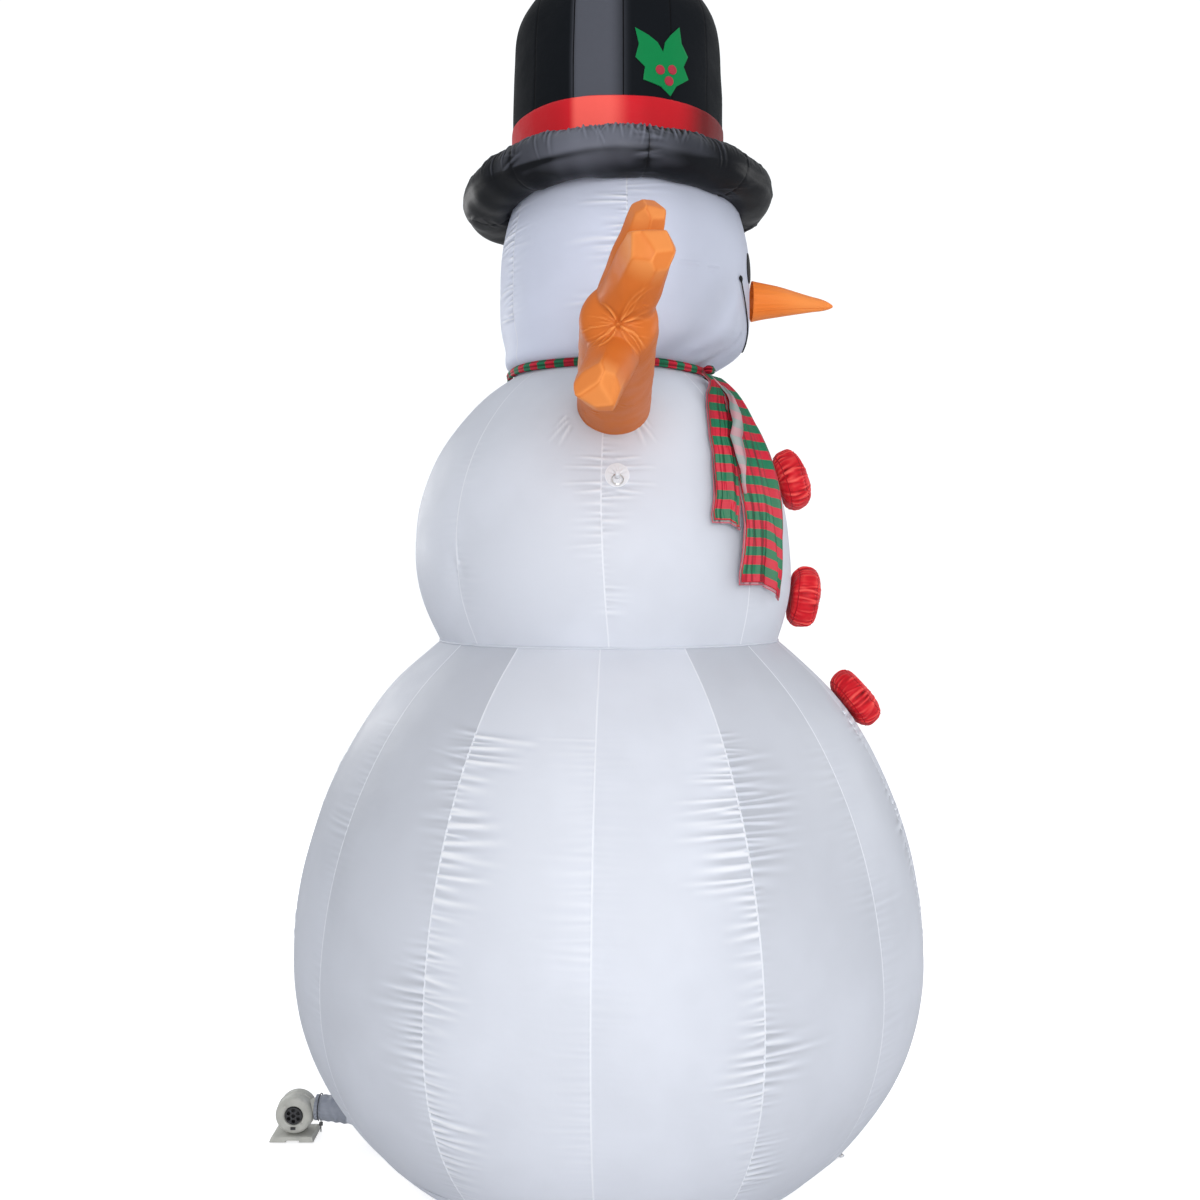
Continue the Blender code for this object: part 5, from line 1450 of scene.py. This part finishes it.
def make_patch(side):
    """A round reinforcing patch, stitched round its edge, with its webbing bridge."""
    node = f"shoulder_patch_{side}"
    centre = middle_of(node)
    angle = atan2(-centre[0], -(centre[1] - float(np.interp(centre[2], CHEST.height, CHEST.middle))))
    reach = float(np.interp(centre[2], CHEST.height, CHEST.radius))
    radius = PATCH_RADIUS
    turns = np.linspace(0, 2 * pi, 97)
    rims = np.concatenate((np.linspace(0, 1, 24), (1.0,)))[::-1]
    angles = angle - radius * rims[:, None] * np.cos(turns)[None, :] / reach
    levels = centre[2] + radius * rims[:, None] * np.sin(turns)[None, :]
    puff = 0.0055 + 0.0025 * (1 - rims**6)
    puff[0] = 0.0
    stitch = -0.0012 * (np.abs(rims - 0.86) < 0.03)[:, None] * (0.4 + 0.6 * np.sin(turns * 36) ** 2)[None, :]
    pulls = 0.0012 * np.sin(turns * 11)[None, :] * (1 - np.abs(rims - 0.5) * 2).clip(0)[:, None]
    points = CHEST.point(angles, CHEST.way_at(levels), puff[:, None] + stitch + pulls)
    apart = (1 - rims)[:, None] * radius + 0 * angles
    piece = sheet(f"tether_patch_{side}", points, WEBBING, cloth_of(points, apart))
    stands(piece, "webbing", node)

    # The bridge arches over the ring's wire.
    out = vertices_of(node) @ direction(angle)
    rise = 0.86 * float(out.max() - out.min())
    t = np.linspace(-1, 1, 33)[:, None]
    x = np.linspace(-0.009, 0.009, 9)[None, :]
    strap = np.stack((x + 0 * t, 0.0165 * t + 0 * x, rise * (1 - np.abs(t) ** 5) - 0.004 + 0 * x), -1)
    strap = strap @ CHEST.seat(angle, centre[2]).T + centre
    bridge = sheet(f"patch_bridge_{side}", strap, WEBBING, cloth_of(strap), flip=True)
    thicken(bridge, 0.0016)
    stands(bridge, "webbing")


STRAP_HALF, STRAP_THICK = 0.0235, 0.0028
STRAP_NOSE = 0.025  # how far from its tip the strap starts to round off
EYELET_SECTION = ((0.0125, 0.006), (0.0122, 0.0112), (0.0145, 0.0128), (0.0175, 0.0118), (0.0185, 0.0095))


def make_stake_loop(name):
    """A folded webbing strap with a metal eyelet near its rounded end."""
    node = f"stake_loop_{name}"
    spots = vertices_of(node)
    radii = np.hypot(spots[:, 0], spots[:, 1])
    near, length = radii.min(), radii.max() - radii.min()
    tip = spots[radii.argmax()]
    out = direction(atan2(-tip[0], -tip[1]))
    side = np.array((out[1], -out[0], 0.0))
    v = np.linspace(0, 1, 80)
    u = np.linspace(-1, 1, 21)
    past = np.maximum(v * length - length + STRAP_NOSE, 0.0)
    half = np.sqrt(np.maximum(STRAP_NOSE**2 - past**2, 1e-8)) * STRAP_HALF / STRAP_NOSE
    lift = 0.007 + 0.006 * np.sin(pi * v) ** 2 + 0.002 * np.sin(9 * v)
    across = u[None, :] * half[:, None]
    points = out * (near + v * length)[:, None, None] + side * across[..., None]
    points[..., 2] = lift[:, None] + 0.0008 * np.cos(u * pi * 3)[None, :]
    apart = half[:, None] - np.abs(across) + 0.004
    strap = sheet(f"stake_strap_{name}", points, WEBBING, cloth_of(points, apart), flip=True)
    thicken(strap, STRAP_THICK)
    stands(strap, "webbing", node)
    turns = np.linspace(0, 2 * pi, 41)[:, None]
    reach, rise = np.array(EYELET_SECTION).T
    spokes = out * np.cos(turns)[..., None] + side * np.sin(turns)[..., None]
    ring = spokes * reach[:, None] + out * (near + length - STRAP_NOSE)
    ring[..., 2] = rise
    stands(sheet(f"stake_eyelet_{name}", ring, NICKEL), "nickel")


def make_zip():
    """The zip's cloth tape on the ball, with two rows of coil teeth along its middle."""
    spots = vertices_of("zip_tape")
    angles = np.unwrap(np.sort(np.arctan2(-spots[:, 0], -spots[:, 1]) % (2 * pi)))
    start, end = angles.min(), angles.max()
    low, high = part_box("zip_tape")
    turns = np.linspace(start, end, 241)
    across = np.linspace(-1, 1, 17)
    middle, half = (low.z + high.z) / 2, (high.z - low.z) / 2
    levels = middle + half * across[:, None] + 0 * turns[None, :]
    out = 0.0058 - 0.0025 * np.abs(across) ** 6
    wavy = 0.0008 * np.sin(turns * 60)[None, :] * np.abs(across)[:, None]
    points = BELLY.point(turns[None, :] + 0 * levels, BELLY.way_at(levels), out[:, None] + wavy)
    apart = (1 - np.abs(across))[:, None] * half + 0 * levels
    tape = sheet("zip_cloth_tape", points, ZIP, cloth_of(points, apart))
    stands(tape, "zip_fabric", "zip_tape")
    radius = float(BELLY.radius_at(BELLY.way_at(middle)))
    pitch = 0.006
    count = int((end - start) * radius / pitch)
    for row, lift in (("upper", 0.0026), ("lower", -0.0026)):
        coil = []
        for step in range(count * 6):
            turn = start + (end - start) * step / (count * 6)
            phase = 2 * pi * step / 6
            level = middle + lift + 0.0024 * cos(phase)
            coil.append(BELLY.at(turn, level, 0.0075 + 0.0014 * sin(phase)))
        stands(wire(f"zip_teeth_{row}", coil, 0.0009, ZIP), "zip_fabric")


def make_sleeve():
    """The air sleeve: drawn onto the fan's spigot by its cord, gathered again where it meets the ball."""
    low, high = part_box("feed_sleeve")
    spots = vertices_of("feed_sleeve")
    front = spots[spots[:, 1] > high.y - 0.01]
    centre = (front.min(0) + front.max(0)) / 2
    mouth = (front[:, 0].max() - front[:, 0].min()) / 2
    length = high.y - low.y - 0.02
    v = np.linspace(0, 1, 120)[:, None]
    turns = np.linspace(0, 2 * pi, 145)[None, :]
    wide = mouth + 0.042 * v**1.5
    cord = bell((v - 0.055) / 0.018)
    wide = wide * (1 - 0.08 * cord)
    frill = 0.0025 * np.sin(22 * turns) * np.exp(-v / 0.10)
    frill = frill + 0.0035 * np.sin(17 * turns + 1) * ease((v - 0.72) / 0.28)
    wrinkle = 0.0022 * np.sin(v * 60 + 2.2 * np.sin(turns) + np.sin(3 * turns))
    wrinkle = wrinkle * ease(v * 4) * ease((1 - v) * 3)
    reach = wide + frill + wrinkle
    sag = 0.010 * np.sin(pi * v)
    up = np.maximum(centre[2] - sag + reach * np.sin(turns), 0.002)
    points = grid_of(centre[0] + reach * np.cos(turns), centre[1] - v * length, up)
    seam = np.abs(wrapped(turns - 1.5 * pi)) * wide
    tone = ease((v - 0.50 - 0.10 * np.cos(turns - 0.6)) / 0.03)  # the pale gusset sewn to the ball
    piece = sheet("sleeve_fabric_tube", points, SLEEVE, cloth_of(points, seam), flip=True, tone=tone)
    thicken(piece, 0.0014, -1.0)
    stands(piece, "sleeve_fabric", "feed_sleeve")


SHELL_CORNER, SHELL_WALL = 0.022, 0.0025


def shell_profile(radius, deep, intake):
    """Radius and distance from the split down one moulded half: flange, wall, rounded edge, face, mouth."""
    turn = np.linspace(0, pi / 2, 11)
    rounded = zip(radius - SHELL_CORNER * (1 - np.cos(turn)), deep - SHELL_CORNER * (1 - np.sin(turn)))
    wall = [(radius + 0.0035, 0.0006), (radius + 0.0035, 0.0045), (radius + 0.0005, 0.0058), (radius, 0.010)]
    if intake:
        mouth = [(0.060, deep), (0.0555, deep - 0.0008), (0.0515, deep - 0.003), (0.0485, deep - 0.008),
                 (0.0475, deep - 0.020)]
    else:
        mouth = [(0.046, deep), (0.0425, deep + 0.001), (0.0405, deep + 0.004), (0.037, deep + 0.0048),
                 (0.0075, deep + 0.0048), (0.0066, deep + 0.003)]
    return np.array([*wall, *rounded, *mouth])


def make_fan_shells():
    """The two moulded halves of the fan's drum, with a flange at the split and a bell-mouthed intake."""
    spigot_low, spigot_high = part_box("outlet_spigot")
    spigot = (spigot_low + spigot_high) / 2
    bore = (spigot_high.x - spigot_low.x) / 2 - 0.001
    turns = np.linspace(0, 2 * pi, 145)
    for side, sign in (("right", -1), ("left", 1)):
        low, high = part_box(f"blower_shell_{side}")
        split = high.x if sign < 0 else low.x
        profile = shell_profile((high.z - low.z) / 2, high.x - low.x, sign < 0)
        steps = [np.linspace(a, b, 4)[:-1] for a, b in zip(profile[:-1], profile[1:])]
        dense = np.concatenate((*steps, profile[-1:]))
        ribs = 1 + 0.012 * (np.cos(turns * 24) > 0.86) * (np.abs(dense[:, 1] - 0.024) < 0.013)[:, None]
        reach = dense[:, :1] * ribs
        middle = (low + high) / 2
        points = grid_of(
            split + sign * dense[:, 1:],
            middle.y + reach * np.cos(turns),
            middle.z + reach * np.sin(turns),
        )
        piece = sheet(f"fan_shell_{side}", points, HOUSING, flip=sign > 0)
        bm = bmesh.new()
        bm.from_mesh(piece.data)
        inside = []
        for face in bm.faces:
            away = face.calc_center_median() - spigot
            if away.y < 0.07 and np.hypot(away.x, away.z) < bore:
                inside.append(face)
        bmesh.ops.delete(bm, geom=inside, context="FACES")
        bmesh.ops.remove_doubles(bm, verts=bm.verts[:], dist=0.00002)
        bm.to_mesh(piece.data)
        bm.free()
        thicken(piece, SHELL_WALL, -1.0)
        stands(piece, "fan_housing", f"blower_shell_{side}")


# ---- CAD nodes that stay --------------------------------------------------------------------------
def paint(material, *nodes):
    for node in nodes:
        mesh = frame["nodes"][node].data
        for number in range(len(mesh.materials)):
            mesh.materials[number] = material


def paint_hardware():
    paint(NICKEL, "tether_ring_left", "tether_ring_right", "zip_slider", "zip_pull", "shell_screw_high",
          "shell_screw_low")
    paint(HOUSING, "blower_base", "outlet_spigot")
    paint(DARK, "intake_grille", "impeller", "power_switch", "cord_lock")
    paint(STEEL, "fan_motor")
    paint(CABLE, "power_cord", "power_plug", "led_cable")
    paint(CORD, "sleeve_drawcord")
    paint(LENS, "led_lamp_high", "led_lamp_middle", "led_lamp_low")
    paint(PANEL, "base_panel")


# ---- stage ----------------------------------------------------------------------------------------
LIGHT_SIZE = 4.0
AIM = Vector((0.0, 0.0, 2.6))


def area_light(name, energy, place, colour=(1, 1, 1)):
    """A big soft square light that faces the figure's middle."""
    light = bpy.data.lights.new(name, "AREA")
    light.shape = "SQUARE"
    light.size = LIGHT_SIZE
    light.energy = energy
    light.color = colour
    obj = add_object(name, light)
    obj.location = place
    obj.rotation_euler = (AIM - Vector(place)).to_track_quat("-Z", "Y").to_euler()


def seen_or_lit(tree, seen, lit):
    """One value for what the camera sees directly and another for the light it gives."""
    camera_ray = add_node(tree, "LightPath").outputs["Is Camera Ray"]
    return maths(tree, "MULTIPLY_ADD", camera_ray, maths(tree, "SUBTRACT", seen, lit), lit)


def make_floor():
    """A wide pale floor that falls away into the backdrop."""
    material, tree, surface = new_material("stage_floor")
    surface.inputs["Base Color"].default_value = rgb(0.72, 0.72, 0.73)
    surface.inputs["Roughness"].default_value = 0.9
    surface.inputs["Specular IOR Level"].default_value = 0.1
    surface.inputs["Emission Color"].default_value = rgb(1.0, 1.0, 1.0)
    tree.links.new(seen_or_lit(tree, 0.62, 0.05), surface.inputs["Emission Strength"])
    reach = 120.0
    corners = np.array([[(x, y, -0.002) for x in (-reach, reach)] for y in (-reach, reach)])
    sheet("studio_floor", corners, material, flip=True)


def make_world():
    """A white backdrop whose light comes mostly from above."""
    world = bpy.data.worlds.new("studio")
    world.use_nodes = True
    tree = world.node_tree
    towards = add_node(tree, "SeparateXYZ", {0: add_node(tree, "TexCoord").outputs["Generated"]})
    dome = between(tree, towards.outputs[2], -0.3, 0.9, 0.52, 0.74)
    shade_node = tree.nodes["Background"]
    shade_node.inputs[0].default_value = rgb(0.96, 0.98, 1.0)
    tree.links.new(seen_or_lit(tree, 1.1, dome), shade_node.inputs[1])
    bpy.context.scene.world = world


def make_stage():
    make_floor()
    make_world()
    area_light("key", 430, (-9.0, -0.8, 4.0), (1.0, 0.99, 0.98))
    area_light("front_fill", 200, (2.0, -9.0, 5.0))
    area_light("back_fill", 240, (6.0, 7.0, 5.0))
    bpy.context.scene.view_settings.view_transform = "Standard"


LENS_LENGTH, LENS_SHIFT = 34.5, (-0.0075, -0.0167)
CAMERA_PLACE = (-6.068, 0.0, 2.96)


def make_camera():
    """Level, at chest height, off the snowman's right side, with its lens shifted to frame the hat."""
    camera = bpy.data.cameras.new("camera")
    camera.lens = LENS_LENGTH
    camera.shift_x, camera.shift_y = LENS_SHIFT
    obj = add_object("camera", camera)
    obj.location = CAMERA_PLACE
    obj.rotation_euler = (pi / 2, 0.0, -pi / 2)
    bpy.context.scene.camera = obj


make_lower_ball()
make_middle_ball()
make_waist_seam()
make_head()
make_eye("right")
make_eye("left")
make_smile()
make_nose()
make_crown()
make_band()
make_brim()
make_holly()
make_buttons()
make_wrap()
make_knot()
make_tails()
make_arms()
make_patch("right")
make_patch("left")
for side_name in ("front", "right", "back", "left"):
    make_stake_loop(side_name)
make_zip()
make_sleeve()
make_fan_shells()
paint_hardware()
make_stage()
make_camera()
